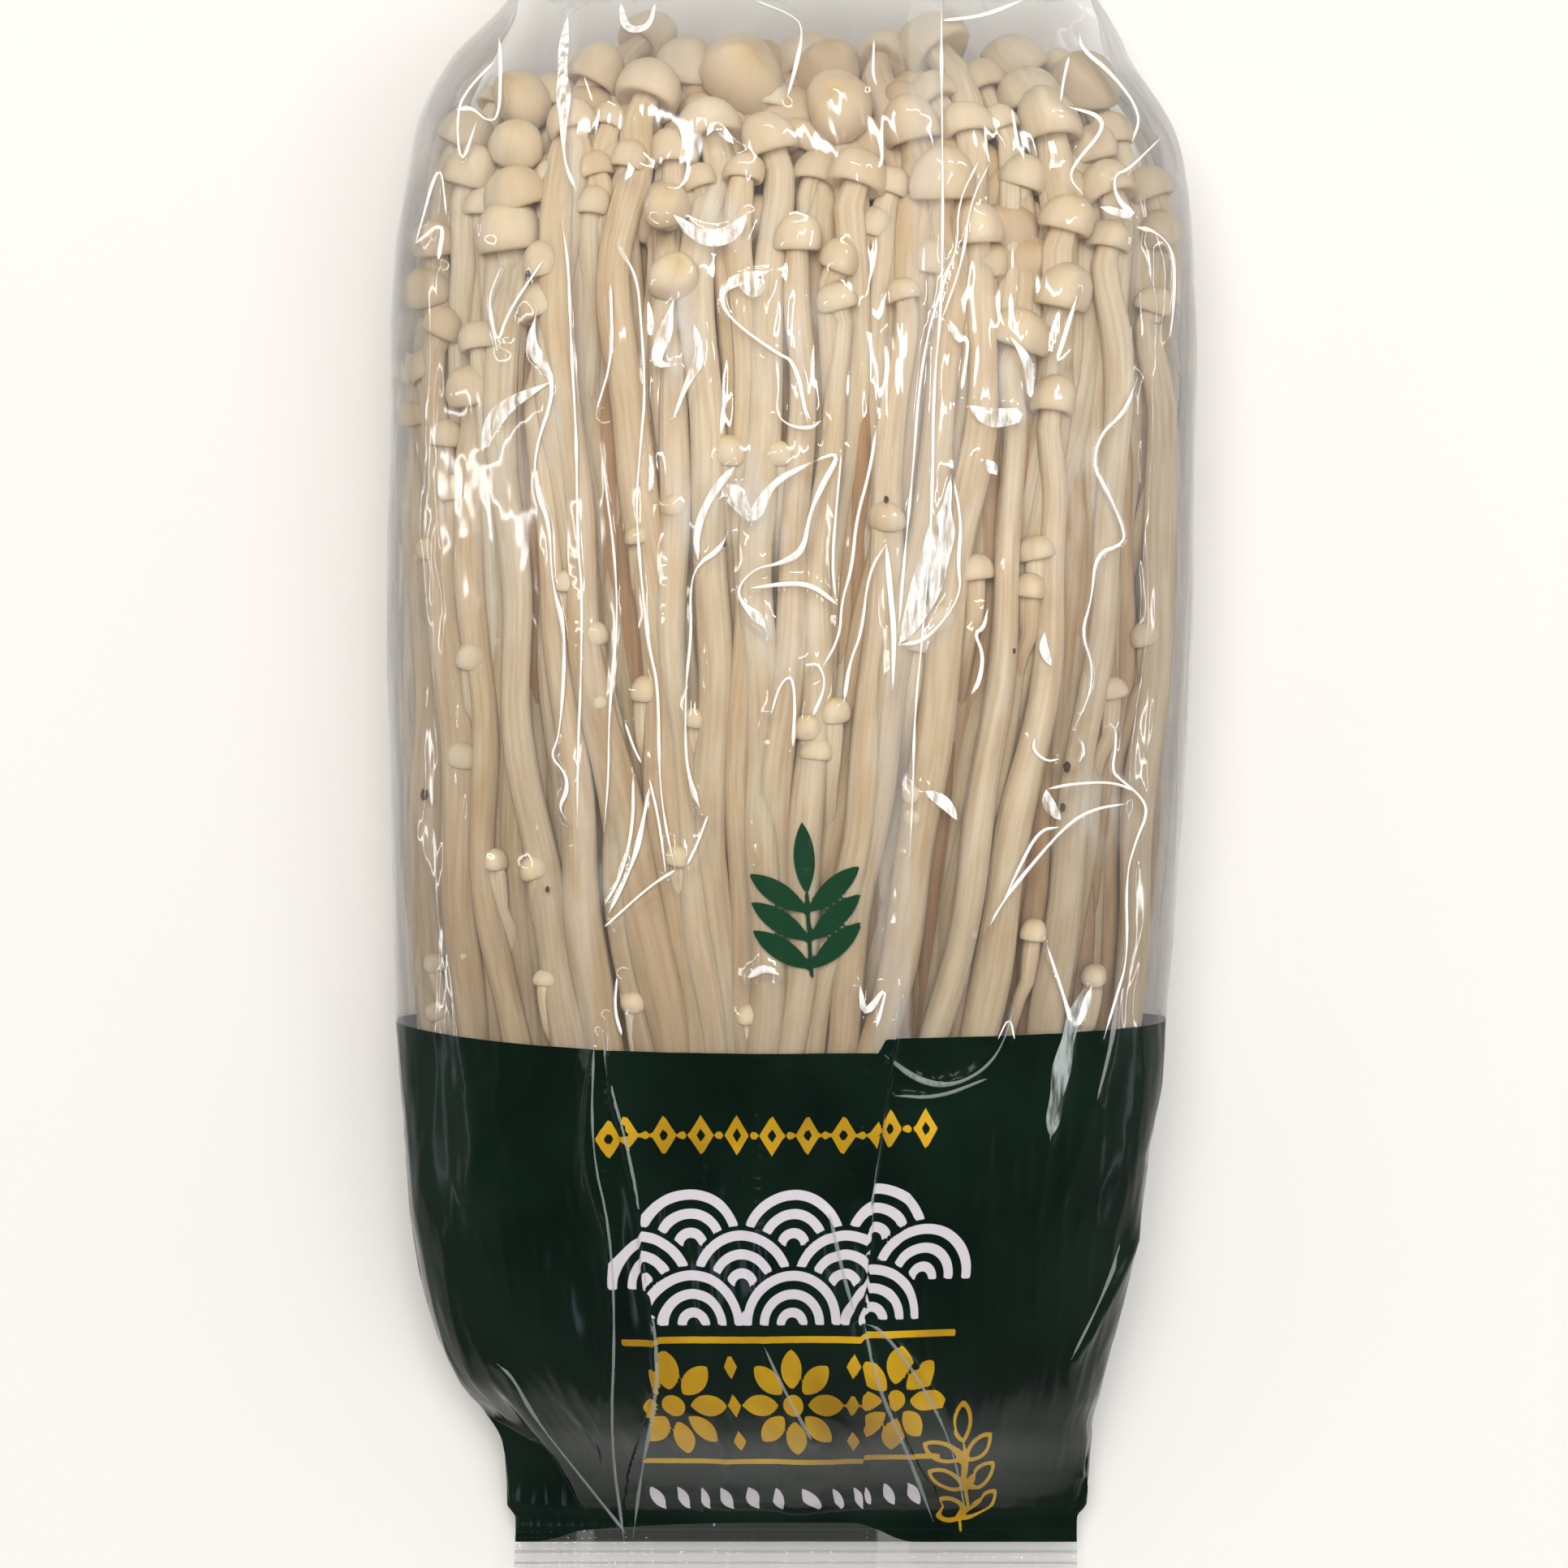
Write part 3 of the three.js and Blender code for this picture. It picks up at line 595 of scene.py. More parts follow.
def bag_face(y, angle):
    """Outer face of the bag at an angle round its section: x, and z from the middle height."""
    half_width, middle, half_height = section(y, 0.0)
    return half_width * bulge(np.cos(angle)), half_height * bulge(np.sin(angle)), middle


def even_angles(start, stop, count):
    """Angles between start and stop whose points are evenly spaced round the widest section."""
    fine = np.linspace(start, stop, 4000)
    x, z, _ = bag_face(np.full(len(fine), WIDEST_Y), fine)
    run = np.concatenate([[0], np.cumsum(np.hypot(np.diff(x), np.diff(z)))])
    return np.interp(np.linspace(0, run[-1], count), run, fine)


def spread(low, high, rows):
    """Rows from low up to, but not including, high, for every column."""
    return low + (high - low) * (np.arange(rows) / rows)[:, None]


front_angles = even_angles(FRONT_START, FRONT_STOP, FRONT_COLUMNS)
back_angles = even_angles(FRONT_STOP, FRONT_START + FULL_TURN, BACK_COLUMNS)[1:-1]
angles = np.concatenate([front_angles, back_angles])
edge_x = bag_face(np.full(len(angles), -36.0), angles)[0]
in_front = np.clip(np.sin(angles), 0, 1) ** 1.5
step_here = smooth(EDGE_STEP_X - 0.5, EDGE_STEP_X + 0.5, edge_x)
edge_middle = PRINT_EDGE_LEFT + (PRINT_EDGE_RIGHT - PRINT_EDGE_LEFT) * step_here
edge_line = PRINT_EDGE_SIDES + (edge_middle - PRINT_EDGE_SIDES) * in_front
foot_x = bag_face(np.full(len(angles), -100.0), angles)[0]
foot_line = PRINT_END + PRINT_END_RISE * in_front * smooth(15, 7, foot_x) * smooth(-34, -27, foot_x)
all_round = np.zeros(len(angles))
film_y = np.vstack([
    spread(all_round - BAG_END, foot_line, FOOT_ROWS),
    spread(foot_line, edge_line, PRINT_ROWS),
    spread(edge_line, all_round + CAVITY_END, WINDOW_ROWS),
    spread(all_round + CAVITY_END, all_round + BAG_END, HEAD_ROWS),
    all_round[None] + BAG_END,
])
film_angle = np.broadcast_to(angles, film_y.shape)
face_x, face_z, film_middle = bag_face(film_y, film_angle)
print("film grid:", film_y.shape, "points")

# %% [markdown]
# A tight bag presses flat whatever comes too close to it. After that, each face of each mushroom marks the
# grid points of the film above it with its own depth, and the film may sink no further than that.

# %% Press the mushrooms flat against the film
def unbulge(v):
    """Turns a coordinate on the squarer oval back into a sine or cosine."""
    return np.sign(v) * np.abs(v) ** (SQUARENESS / 2)


def depth_and_angle(points):
    """Depth under the bag's outer face, and the angle round the section, of points in the bag."""
    half_width, middle, half_height = section(points[:, 1], 0.0)
    x, z = points[:, 0] / half_width, (points[:, 2] - middle) / half_height
    share = (np.abs(x) ** SQUARENESS + np.abs(z) ** SQUARENESS) ** (1 / SQUARENESS)
    reach = np.hypot(points[:, 0], points[:, 2] - middle) / np.maximum(share, 1e-6)
    return (1 - share) * reach, np.arctan2(unbulge(z), unbulge(x))


def press_in(crop, skin):
    """Presses whatever comes closer to the film than skin flat against it, as a tight bag does."""
    points = np.vstack(crop.points)
    _, middle, _ = section(points[:, 1], 0.0)
    depth, _ = depth_and_angle(points)
    reach = np.hypot(points[:, 0], points[:, 2] - middle)
    scale = np.where(depth < skin, (reach + depth - skin) / np.maximum(reach, 1e-6), 1.0)
    points[:, 0] *= scale
    points[:, 2] = np.maximum(middle + (points[:, 2] - middle) * scale, skin)
    crop.points = [points]
    return int((depth < skin).sum())


SKIN = 0.8  # nothing comes closer to the outer face of the film
NO_OBSTACLE = 60.0
crops = {"mushrooms_front": front, "young_mushrooms": buds, "mushrooms_behind": behind,
         "mushrooms_back": back, "root_clump": clump}
print("points pressed flat:", {name: press_in(crop, SKIN) for name, crop in crops.items()})

# %% Find how far the film may sink at each point of its grid
obstacle = np.full(film_y.shape, NO_OBSTACLE)
wrapped = np.concatenate([angles, [angles[0] + FULL_TURN]])
row_marks = np.cumsum([0, FOOT_ROWS, PRINT_ROWS, WINDOW_ROWS, HEAD_ROWS])


def row_of(y, column):
    """The nearest grid row to y in a column."""
    foot, edge = foot_line[column], edge_line[column]
    below = row_marks[1] + (y - foot) / (edge - foot) * PRINT_ROWS
    above = row_marks[2] + (y - edge) / (CAVITY_END - edge) * WINDOW_ROWS
    return np.clip(np.round(np.where(y < edge, below, above)).astype(int), 0, len(film_y) - 1)


SPLITS = 3  # a face is tested at 3 by 3 spots
for crop in crops.values():
    corners = crop.points[0][np.vstack(crop.quads)]
    for i in range(SPLITS):
        for j in range(SPLITS):
            a, b = (i + 0.5) / SPLITS, (j + 0.5) / SPLITS
            share = np.array([(1 - a) * (1 - b), a * (1 - b), a * b, (1 - a) * b])
            spot = np.einsum("k,nkc->nc", share, corners)
            depth, angle = depth_and_angle(spot)
            angle = np.where(angle < angles[0], angle + FULL_TURN, angle)
            column = np.round(np.interp(angle, wrapped, np.arange(len(wrapped)))).astype(int) % len(angles)
            np.minimum.at(obstacle, (row_of(spot[:, 1], column), column), depth)
print("share of the film with a mushroom under it:", round(float((obstacle < NO_OBSTACLE).mean()), 2))

# %% [markdown]
# Now the membrane rule runs. The film is allowed some slack, more where the bunch rounds off under it, and
# it stays taut round the sides.

# %% Let the film settle
PULL = 0.004  # inwards, at each step
GAP = 0.12  # between the film and a mushroom
SETTLE_STEPS = 700
SPRING_STEPS = 14
# How far the film may sink at each y before it is taut.
SLACK = [(-107.5, 0), (-99, 0), (-92, 0.6), (-80, 1.2), (-60, 1.6), (60, 1.6), (80, 3.2), (90, 2.2),
         (97, 0.5), (107.5, 0)]


def neighbours(field):
    """Mean of the four neighbours of every point of the tube."""
    around = np.roll(field, 1, axis=1) + np.roll(field, -1, axis=1)
    framed = np.pad(field, ((1, 1), (0, 0)), mode="edge")
    return 0.25 * (around + framed[:-2] + framed[2:])


film_depth = np.zeros(film_y.shape)
tautness = 0.2 + 0.8 * smooth(0.25, 0.85, np.abs(np.sin(film_angle)))
limit = np.minimum(np.maximum(obstacle - GAP, 0), profile(SLACK, film_y) * tautness)
for _ in range(SETTLE_STEPS):
    film_depth = np.minimum(neighbours(film_depth) + PULL, limit)
# Film is springy: it cuts across narrow hollows instead of following them.
for _ in range(SPRING_STEPS):
    film_depth = np.minimum(neighbours(film_depth), limit)
print("the film sinks between mushrooms by up to", round(float(film_depth.max()), 1), "mm")

# %% [markdown]
# ## Creases
#
# Film folded flat in the factory keeps its fold lines for good, and film pulled over an uneven bunch is
# pinched into small sharp folds. They matter more than anything else here, because clear film is seen only
# where it catches the light. Displacement from a texture would give crinkles of one kind all over, so the
# folds are set out one by one, each as a chain of points, as seen from above, on the middle level. A third
# number is the half width of the fold in mm where it opens into a wider facet.

# %% Folds along the fold lines of the tube: x, y and, where it differs from the usual, half width
THIN = 0.15  # the usual half width
# The white ribbons of the broad, opened folds are patches that stand in for glare: painted highlight.
OPEN, OPENED_WIDER = 0.35, 1.3  # a fold wider than this has opened, and shows wider still
# The two long ones.
LONG_FOLD_LEFT = [(-28.4, 64.5), (-27.6, 59), (-27.4, 53.5), (-27.1, 46.5), (-26.7, 39.5), (-26.6, 36, 0.22),
                  (-26.4, 23.5), (-25.9, 19.5), (-26, 8.5), (-26.4, -0.5), (-26.5, -10.5)]
LONG_FOLD_RIGHT = [(18.4, 94), (18.4, 81.5), (18.6, 66.5), (18.4, 53.5), (17.4, 43.5), (17.3, 28.5),
                   (16.1, 13.5), (15.1, 3.5), (14.9, -5.5), (14.5, -14)]
FOLDS = [
    [(-27.6, 90), (-28.4, 84, 0.6), (-28.1, 79.5, 0.55), (-28.3, 72), (-26.6, 68, 0.2)],
    LONG_FOLD_LEFT,
    LONG_FOLD_RIGHT,
    [(19.9, 60), (17, 52), (15.6, 43.5), (14.9, 33.5), (13.9, 23.5), (13.1, 13.5)],
]
print(len(FOLDS), "folds along the tube")

# %% Folds on the left side
FOLDS += [
    [(-36.1, 87), (-35.9, 83), (-36.1, 77, 0.25), (-37.6, 76.5), (-39.4, 78.3), (-41.4, 78, 0.35)],
    [(-36.6, 84), (-39.6, 81), (-41.4, 78), (-40.9, 70.5), (-38.9, 76.5)],
    [(-46.4, 61.5), (-43.4, 72.5, 0.2), (-42.6, 65)],
    [(-46.4, 61.5), (-42.8, 64.5, 0.3), (-43.6, 59.5, 0.2)],
    [(-37.4, 54.5), (-36.4, 48.5, 0.3), (-35.1, 53), (-30.6, 59.5)],
    [(-35.9, 58.5), (-37.6, 54.5), (-36.4, 48.5)],
    [(-31.4, 53.5), (-32.4, 49, 0.6), (-30.9, 47, 0.45), (-29.1, 43.7), (-31.9, 35.5), (-31.4, 30.8, 0.3),
     (-29.9, 27), (-29.6, 19.5), (-28.1, 14.5, 0.3), (-28.1, 8.5), (-28.7, 0.5), (-29.9, -1.7),
     (-27.9, -3.7), (-27.7, -6, 0.3), (-28.8, -8, 0.6), (-27.8, -9.5)],
    [(-29.6, 44.5), (-34.6, 42, 0.5), (-37.1, 39.5, 0.7), (-38.2, 36, 0.2)],
    [(-21.1, 91), (-20.6, 87.8, 0.45), (-17.6, 88, 0.3), (-16.9, 91)],
    [(-25.6, 82), (-24.6, 79)],
    [(-20.1, 71.5), (-19.8, 70.5, 0.45), (-20.6, 69.3)],
    [(-14.6, 65), (-11.1, 62, 0.6), (-7.6, 62.4, 0.7), (-5.6, 65, 0.25)],
    [(-10.5, 74.8), (-9.6, 76.5, 0.8), (-7.2, 73.8, 0.3)],
    [(-4.6, 91.5), (0.4, 89.5), (1.4, 87.8), (0.4, 83, 0.22), (-0.6, 79.5)],
    [(-14.6, 54.7), (-15.6, 50.5, 0.55), (-17.1, 46.8, 0.8), (-14.9, 46.4)],
    [(-12.1, 51.5), (-11.1, 47.5, 0.7), (-12.9, 44.5, 0.3), (-14.6, 40, 0.22)],
    [(-22.4, 56.5), (-22.1, 47.5), (-24.1, 41, 0.25)],
    [(-21.6, 61.5), (-19.1, 57.5), (-18.6, 51.5), (-18.1, 43.5), (-18.6, 37.5), (-19.2, 30.5), (-19, 24.5),
     (-18.1, 15.5, 0.22), (-17.6, 11.5), (-16.5, 7), (-16.4, -4), (-15.6, -10.5), (-14.4, -15.5)],
    [(-17.6, 35.5), (-17.2, 33.5, 0.3), (-17.6, 31)],
    [(-23.6, 37), (-22.9, 31), (-21.9, 23.5), (-21.5, 15.5), (-22.1, 9, 0.2), (-22.6, 2.5), (-22.6, -4),
     (-23.2, -11)],
    [(-14.4, -15.7), (-17.6, -17.7, 0.25), (-23.1, -22.7, 0.2)],
    [(-19.6, -4), (-19.6, -10.5), (-21.1, -16.5), (-23.1, -20)],
    [(-17.6, -5.5), (-18.4, -10, 0.28), (-19.6, -15, 0.25), (-22.6, -21)],
    [(-17.6, -4.5), (-16.4, -9.5), (-15.6, -16)],
    [(-20.6, 2.5), (-19.6, -0.5), (-18.6, -2.5)],
    [(-7.9, 26), (-8.9, 23.8, 0.3), (-11.9, 21.8), (-12.6, 18.5), (-12.4, 13.5), (-13.1, 7.5), (-13.2, -1.5),
     (-12.4, -5.5), (-11.4, -8, 0.55)],
    [(-10.4, -9), (-11.5, -12), (-12.9, -15)],
]
print(len(FOLDS), "folds so far")

# %% Folds in the middle
FOLDS += [
    [(-2.6, 58.2), (-7.1, 57, 0.5), (-8.9, 55.5, 0.3), (-8.1, 52.5, 0.25), (-2.1, 48, 0.3), (0.4, 47, 0.25),
     (1.9, 39.5, 0.3)],
    [(-1.9, 47), (-1.6, 43.5), (-2.1, 40.5), (-0.2, 38.9, 0.2), (2.4, 38.7, 0.3), (3.6, 39.7)],
    [(-6.6, 56.5), (-4.6, 56, 0.9), (-3.4, 57)],
    [(-11.6, 22.5), (-11.9, 26, 0.7), (-10.1, 30.5, 0.5), (-7.1, 34, 0.3)],
    [(-9, 30), (-7.6, 31.5, 0.9), (-5.9, 28.5, 0.4), (-4.6, 27.6, 0.5), (-2.6, 32, 0.5), (2.4, 34.5)],
    [(2.4, 34.5), (6.1, 36), (3.6, 31.5, 0.3), (2.1, 28), (1.4, 23.5, 0.4), (-1.6, 22, 0.25), (-4.6, 21.5),
     (-6.9, 19, 0.2), (-6.1, 17, 0.3), (-3.9, 15.2, 0.9), (-3.1, 13.6, 0.3)],
    [(-5.1, 19), (-1, 19.6, 0.2), (2.4, 19.5, 0.3), (5.6, 17)],
    [(-2.6, 3.5), (-1.6, 7), (-0.1, 8.5, 0.2), (0.4, 5.5), (0.1, -0.5, 0.2)],
    [(1.6, 9.5), (3.4, 9.8), (4.2, 7), (2.6, 3.4, 0.22)],
    [(10.4, 39), (9.6, 33.5), (7.9, 27.5), (7.4, 21.5), (6.1, 17.5), (5.9, 13), (3.6, 9)],
    [(6.1, 36), (5.6, 30.5), (4.9, 22), (5.4, 17.5)],
    [(11.6, 24.5), (9.4, 21), (8.6, 13.5), (7.1, 10), (6.4, 5, 0.2)],
    [(11.6, 24.5), (12.1, 18.5, 0.28), (12.6, 13.5, 0.25), (12.4, 6.5)],
]
print(len(FOLDS), "folds so far")

# %% Folds on the right side
FOLDS += [
    [(18.6, 89), (23.4, 89.5, 0.25), (28.4, 91.5)],
    [(10.1, 86.5), (9.9, 82.5), (10.4, 81)],
    [(35.4, 87.5), (35.6, 85.5, 0.25), (39.4, 82.5, 0.3), (43.1, 77.5), (41.9, 74)],
    [(34.1, 84.5), (33.4, 81.5), (33.1, 79)],
    [(34.1, 78.3), (37.9, 77.3, 0.2), (38.4, 75.5), (34.9, 71.5), (34.1, 69.5), (35.9, 67.5)],
    [(45.4, 74.5), (41.4, 70.5, 0.3), (39.6, 70), (39.9, 67, 0.25), (42.6, 64.6, 0.4), (37.9, 66, 0.35)],
    [(42.4, 63.5, 0.3), (44.9, 63), (47.1, 60.5), (47.1, 54.5), (46.6, 50)],
    [(27.1, 78), (27.9, 73)],
    [(24.4, 71.5), (21.9, 66.5), (21.1, 59.5), (18.4, 52)],
    [(22.9, 71.5), (20.4, 66.5), (20.4, 60.5), (18.4, 57)],
    [(19.4, 52), (20.6, 49.5, 0.5), (21.9, 50), (20.9, 43.5, 0.25)],
    [(35.1, 55), (33.4, 49.5, 0.25), (32.4, 46.5), (34.4, 48.5)],
    [(26.9, 50), (29.2, 47, 0.7), (29.4, 42.5, 0.4)],
    [(21.9, 41.5), (24.4, 39.8, 0.9), (28.4, 40.4, 0.5)],
    [(9.9, 53.5), (10.6, 52, 0.5), (11.6, 55.5)],
    [(24, 34.9, 0.2), (24.6, 33.8, 0.7), (25.2, 33, 0.2)],
    [(19.6, 33), (18.9, 28, 0.9), (16.9, 20, 1.3), (14.6, 14.5, 0.7), (13.1, 12, 0.25)],
    [(19.9, 32.5), (20.9, 27), (20.4, 22, 0.25), (20.9, 18), (16.6, 12.5, 0.2), (13.1, 12, 0.25)],
    [(24.1, 16.5), (23.6, 14, 0.28), (22.4, 13.5), (23.6, 11), (23.1, 7.5, 0.22), (22.1, 6)],
    [(31.1, 13.5), (30.9, 11.5, 0.4), (31.9, 9.5)],
    [(42.6, 45), (40.9, 40.5), (37.9, 38), (37.1, 34), (38.6, 31.5, 0.22), (41.1, 26), (40.6, 24.3),
     (37.4, 23.3, 0.22), (36.9, 17.5), (35.6, 13.5), (37.1, 9.5), (36.6, 5.5), (34.6, 1.5)],
    [(29.9, 0.5), (29.6, -0.9, 0.22), (31.4, -2.4), (32.9, -2)],
    [(35.6, 0.3), (36.1, -1), (35.4, -2.4)],
    [(38.4, 2), (39.9, 2), (39.9, -0.5), (39.4, -3.5), (40.4, -4.5), (42.9, -6.5, 0.2), (43.9, -8.5),
     (42.4, -12), (41.1, -16.5), (41.4, -26.5), (39.9, -31.5), (38.4, -36.5)],
    [(31.6, -5.7), (34.4, -5.1, 0.2), (39.4, -4.8), (42.4, -6)],
    [(41.4, -7.5), (36.9, -8.2, 0.2), (33.4, -10.5, 0.25), (27.9, -17, 0.22), (25.6, -20.2),
     (24.4, -22.5, 0.3)],
    [(32.9, -10.4), (30.4, -10.8), (27.9, -15.5), (25.9, -20)],
    [(31.3, -5.8), (31.5, -7.6, 0.6), (33.1, -9.5, 0.25)],
    [(16.4, -6), (19, -7.4, 0.7), (20.3, -9.5, 0.2)],
    [(8.4, -30), (8.9, -34, 0.4), (11.9, -29.4, 0.25), (10.4, -35)],
    [(25.4, -36.5), (26.8, -33.5), (27.4, -36.5)],
    [(31.4, -25), (33.4, -31), (34.9, -36, 0.6), (36.9, -30)],
    [(-5.4, -29), (-3.6, -27.6, 0.4), (-1.6, -28.6)],
    [(-21.6, -29), (-21.9, -33, 0.3), (-21, -36)],
]
print(len(FOLDS), "folds on the window")

# %% [markdown]
# On the printed part the film has slack, and it lies in long pleats. In some of them one side rides over the
# other as a tuck, so those lines have names: the step of each tuck is raised along its line further down.

# %% Folds on the printed part
LEFT_TUCK = [(-23.6, -34), (-22.6, -42), (-20.6, -48.5, 0.2), (-18.9, -57), (-18.4, -66), (-17, -72, 0.3),
             (-16.6, -80, 0.25), (-18.6, -90), (-19.6, -98)]
LEFT_TUCK_BACK = [(-24.4, -36), (-24.8, -50), (-22.4, -60), (-21.8, -72), (-22.4, -86), (-20.6, -99)]
RIGHT_TUCK_HIGH = [(13.4, -30), (12.4, -38), (10.9, -48.5, 0.2), (9.9, -56), (9.6, -62)]
RIGHT_TUCK_OUTER = [(8.9, -71.6), (10.9, -72.2, 0.25), (15.4, -78, 0.2), (19.6, -86), (21.4, -95)]
RIGHT_TUCK_INNER = [(8.9, -71.6), (10.4, -79), (14.4, -88, 0.25), (17.4, -96)]
SIDE_TUCK = [(43.6, -52.5), (41.4, -60, 0.35), (38.4, -68), (34.4, -76, 0.2)]
PLEATS = [
    LEFT_TUCK,
    LEFT_TUCK_BACK,
    RIGHT_TUCK_HIGH,
    RIGHT_TUCK_OUTER,
    RIGHT_TUCK_INNER,
    [(11.4, -38.5), (15.4, -41.6, 0.3), (19.4, -42.4, 0.25), (23.4, -40.6), (25.9, -37.5), (27.4, -32.5)],
    [(12.6, -43.5), (18, -43.8, 0.2), (24, -41.4)],
    [(36, -30), (34.6, -34, 0.5), (33.2, -40, 0.9), (32.2, -46, 0.6), (31.8, -49)],
    [(40.2, -31), (39.4, -37, 0.3), (37.6, -44)],
    SIDE_TUCK,
    [(-36.4, -76.5), (-34.4, -78.2, 0.35), (-31.9, -83), (-26.4, -90), (-20.4, -97.5)],
    [(-3.4, -74.5), (-1.4, -79), (2.4, -86, 0.2)],
    [(4.6, -58), (6.4, -66, 0.35), (7.6, -70)],
]


def chain(points):
    """Points of a fold every half millimetre, with the corners rounded, and its half width there."""
    line = np.array([(*p, THIN)[:3] for p in points], dtype=float)
    line[:, 2] = np.where(line[:, 2] > OPEN, OPENED_WIDER * line[:, 2], line[:, 2])
    for _ in range(2):
        inner = np.stack([0.75 * line[:-1] + 0.25 * line[1:], 0.25 * line[:-1] + 0.75 * line[1:]], axis=1)
        line = np.vstack([line[:1], inner.reshape(-1, 3), line[-1:]])
    run = np.concatenate([[0], np.cumsum(np.hypot(*np.diff(line[:, :2], axis=0).T))])
    even = np.linspace(0, run[-1], max(4, int(run[-1] / 0.5)))
    return np.stack([np.interp(even, run, column) for column in line.T], axis=1)


print(len(PLEATS), "pleats on the print")

# %% [markdown]
# ## The film between its folds
#
# Along each fold the film stands up in a soft ridge. Elsewhere it is never flat either: it gathers in fine
# ridges that run with the stems, and it crumples in flat facets that meet in sharp straight creases, more
# towards the ends, where the tube is drawn together. Each of these is a height over the settled film.

# %% Helpers that see the film from above and make it uneven
def seen_from_above(x, y, z):
    """Where a point shows on the middle level, to the camera above."""
    zoom = VIEW_DISTANCE / (VIEW_DISTANCE + VIEW_LEVEL - z)
    return VIEW_CENTRE[0] + (x - VIEW_CENTRE[0]) * zoom, VIEW_CENTRE[1] + (y - VIEW_CENTRE[1]) * zoom


def noise(u, v, seed):
    """Smooth noise from -1 to 1 with one knot per unit."""
    left, low = np.floor(u), np.floor(v)
    a, b = u - left, v - low
    a, b = a * a * (3 - 2 * a), b * b * (3 - 2 * b)

    def knot(i, j):
        """The draw at a corner of the cell."""
        return 2 * scatter(0.37 * (left + i) + 41.3 * (low + j) + 7.7 * seed, seed) - 1

    return (knot(0, 0) * (1 - a) + knot(1, 0) * a) * (1 - b) + (knot(0, 1) * (1 - a) + knot(1, 1) * a) * b


def ridges(u, v, seed):
    """Sharp-crested gathers: 1 on the crests, 0 in the hollows."""
    return np.clip(1 - 2.2 * np.abs(noise(u, v, seed)), 0, 1) ** 2


def facets(u, v, seed):
    """Flat facets that meet in straight sharp creases, from -1 to 1: waves with a zigzag profile."""
    total = 0
    for k in range(4):
        a = math.pi * (k + 0.7 * draw(seed, k)) / 4
        phase = u * math.cos(a) + v * math.sin(a) + 3 * draw(seed, k + 9)
        phase = phase + 0.35 * noise(u / 2, v / 2, seed + k)
        total = total + np.abs(2 * (phase - np.floor(phase)) - 1)
    return total / 2 - 1


def side_of(fold, x, y):
    """How far x lies to the right of a fold that runs down the bag, at the same y."""
    line = np.array(sorted((p[1], p[0]) for p in fold))
    return x - np.interp(y, line[:, 0], line[:, 1])


# film_u runs round the film in millimetres, from 0 in the middle of the front.
measured_row = -WINDOW_ROWS
round_film = np.hypot(np.diff(face_x[measured_row]), np.diff(face_z[measured_row]))
round_film = np.concatenate([[0], np.cumsum(round_film)])
front_middle = np.interp(math.pi / 2, front_angles, round_film[:FRONT_COLUMNS])
film_u = np.broadcast_to(front_middle - round_film, film_y.shape)
front_z = film_middle + face_z * (1 - film_depth / np.hypot(face_x, face_z))
front_x, front_y = seen_from_above(face_x + profile(SWAY, film_y), film_y, front_z)
on_front = smooth(0.0, 0.3, np.sin(film_angle))
print("round the film:", round(float(np.ptp(film_u)), 1), "mm")

# %% Raise the film along the folds
FOLD_HEIGHT, FOLD_BREADTH, FOLD_REACH = 0.42, 0.55, 2.5
FAR = 9.0  # stands for a distance that is yet to be found
TUCK_REACH = 3.5
# One side of a tuck rides over the other and falls off slowly: its line, the side that is high (1 is right),
# how high, and the y where it starts and stops.
TUCKS = [
    (LEFT_TUCK, 1, 0.9, -34, -98), (LEFT_TUCK_BACK, -1, 0.6, -36, -98),
    (RIGHT_TUCK_HIGH + RIGHT_TUCK_OUTER[:1], -1, 0.9, -30, -71), (RIGHT_TUCK_OUTER, 1, 0.7, -71, -96),
    (RIGHT_TUCK_INNER, -1, 0.7, -71, -96), (SIDE_TUCK, 1, 0.5, -52, -76),
]

fold_height = np.zeros(film_y.shape)
for fold in FOLDS + PLEATS:
    line = chain(fold)
    low, high = line.min(axis=0) - FOLD_REACH, line.max(axis=0) + FOLD_REACH
    near = (front_x > low[0]) & (front_x < high[0]) & (front_y > low[1]) & (front_y < high[1])
    near = near & (on_front > 0)
    spots = np.stack([front_x[near], front_y[near]], axis=1)
    gap = np.full(len(spots), FAR)
    for point in line:
        gap = np.minimum(gap, np.hypot(spots[:, 0] - point[0], spots[:, 1] - point[1]) - point[2])
    rise = FOLD_HEIGHT * np.exp(-(np.maximum(gap, 0) / FOLD_BREADTH) ** 1.3)
    fold_height[near] = np.maximum(fold_height[near], rise)
tuck_height = np.zeros(film_y.shape)
for fold, side, high, start, stop in TUCKS:
    beyond = side * side_of(fold, front_x, front_y)
    rides = smooth(-0.3, 0.3, beyond) * np.exp(-np.maximum(beyond, 0) / TUCK_REACH)
    rides = rides * smooth(start, start - 5, front_y) * smooth(stop, stop + 4, front_y)
    tuck_height = np.maximum(tuck_height, high * rides)
fold_height = (fold_height + tuck_height) * on_front
print("share of the film in a fold:", round(float((fold_height > 0.1).mean()), 3))

# %% Gather and crumple it elsewhere
# Fine gathers: height, pitch across and along the bag, slant and seed.
GATHERS = [(0.10, 2.6, 23, 0.1, 11), (0.14, 4.4, 36, -0.06, 12)]
gathers = sum(height * ridges((film_u + slant * film_y) / across, film_y / along, seed)
              for height, across, along, slant, seed in GATHERS)
crumple = 0.28 * (1 + facets(film_u / 13, film_y / 27, 13))
ends = smooth(66, 96, np.abs(film_y))
crumple = crumple * (1 + 1.2 * ends) + 0.3 * ends * ridges(film_u / 7 + film_y / 30, film_y / 11, 16)
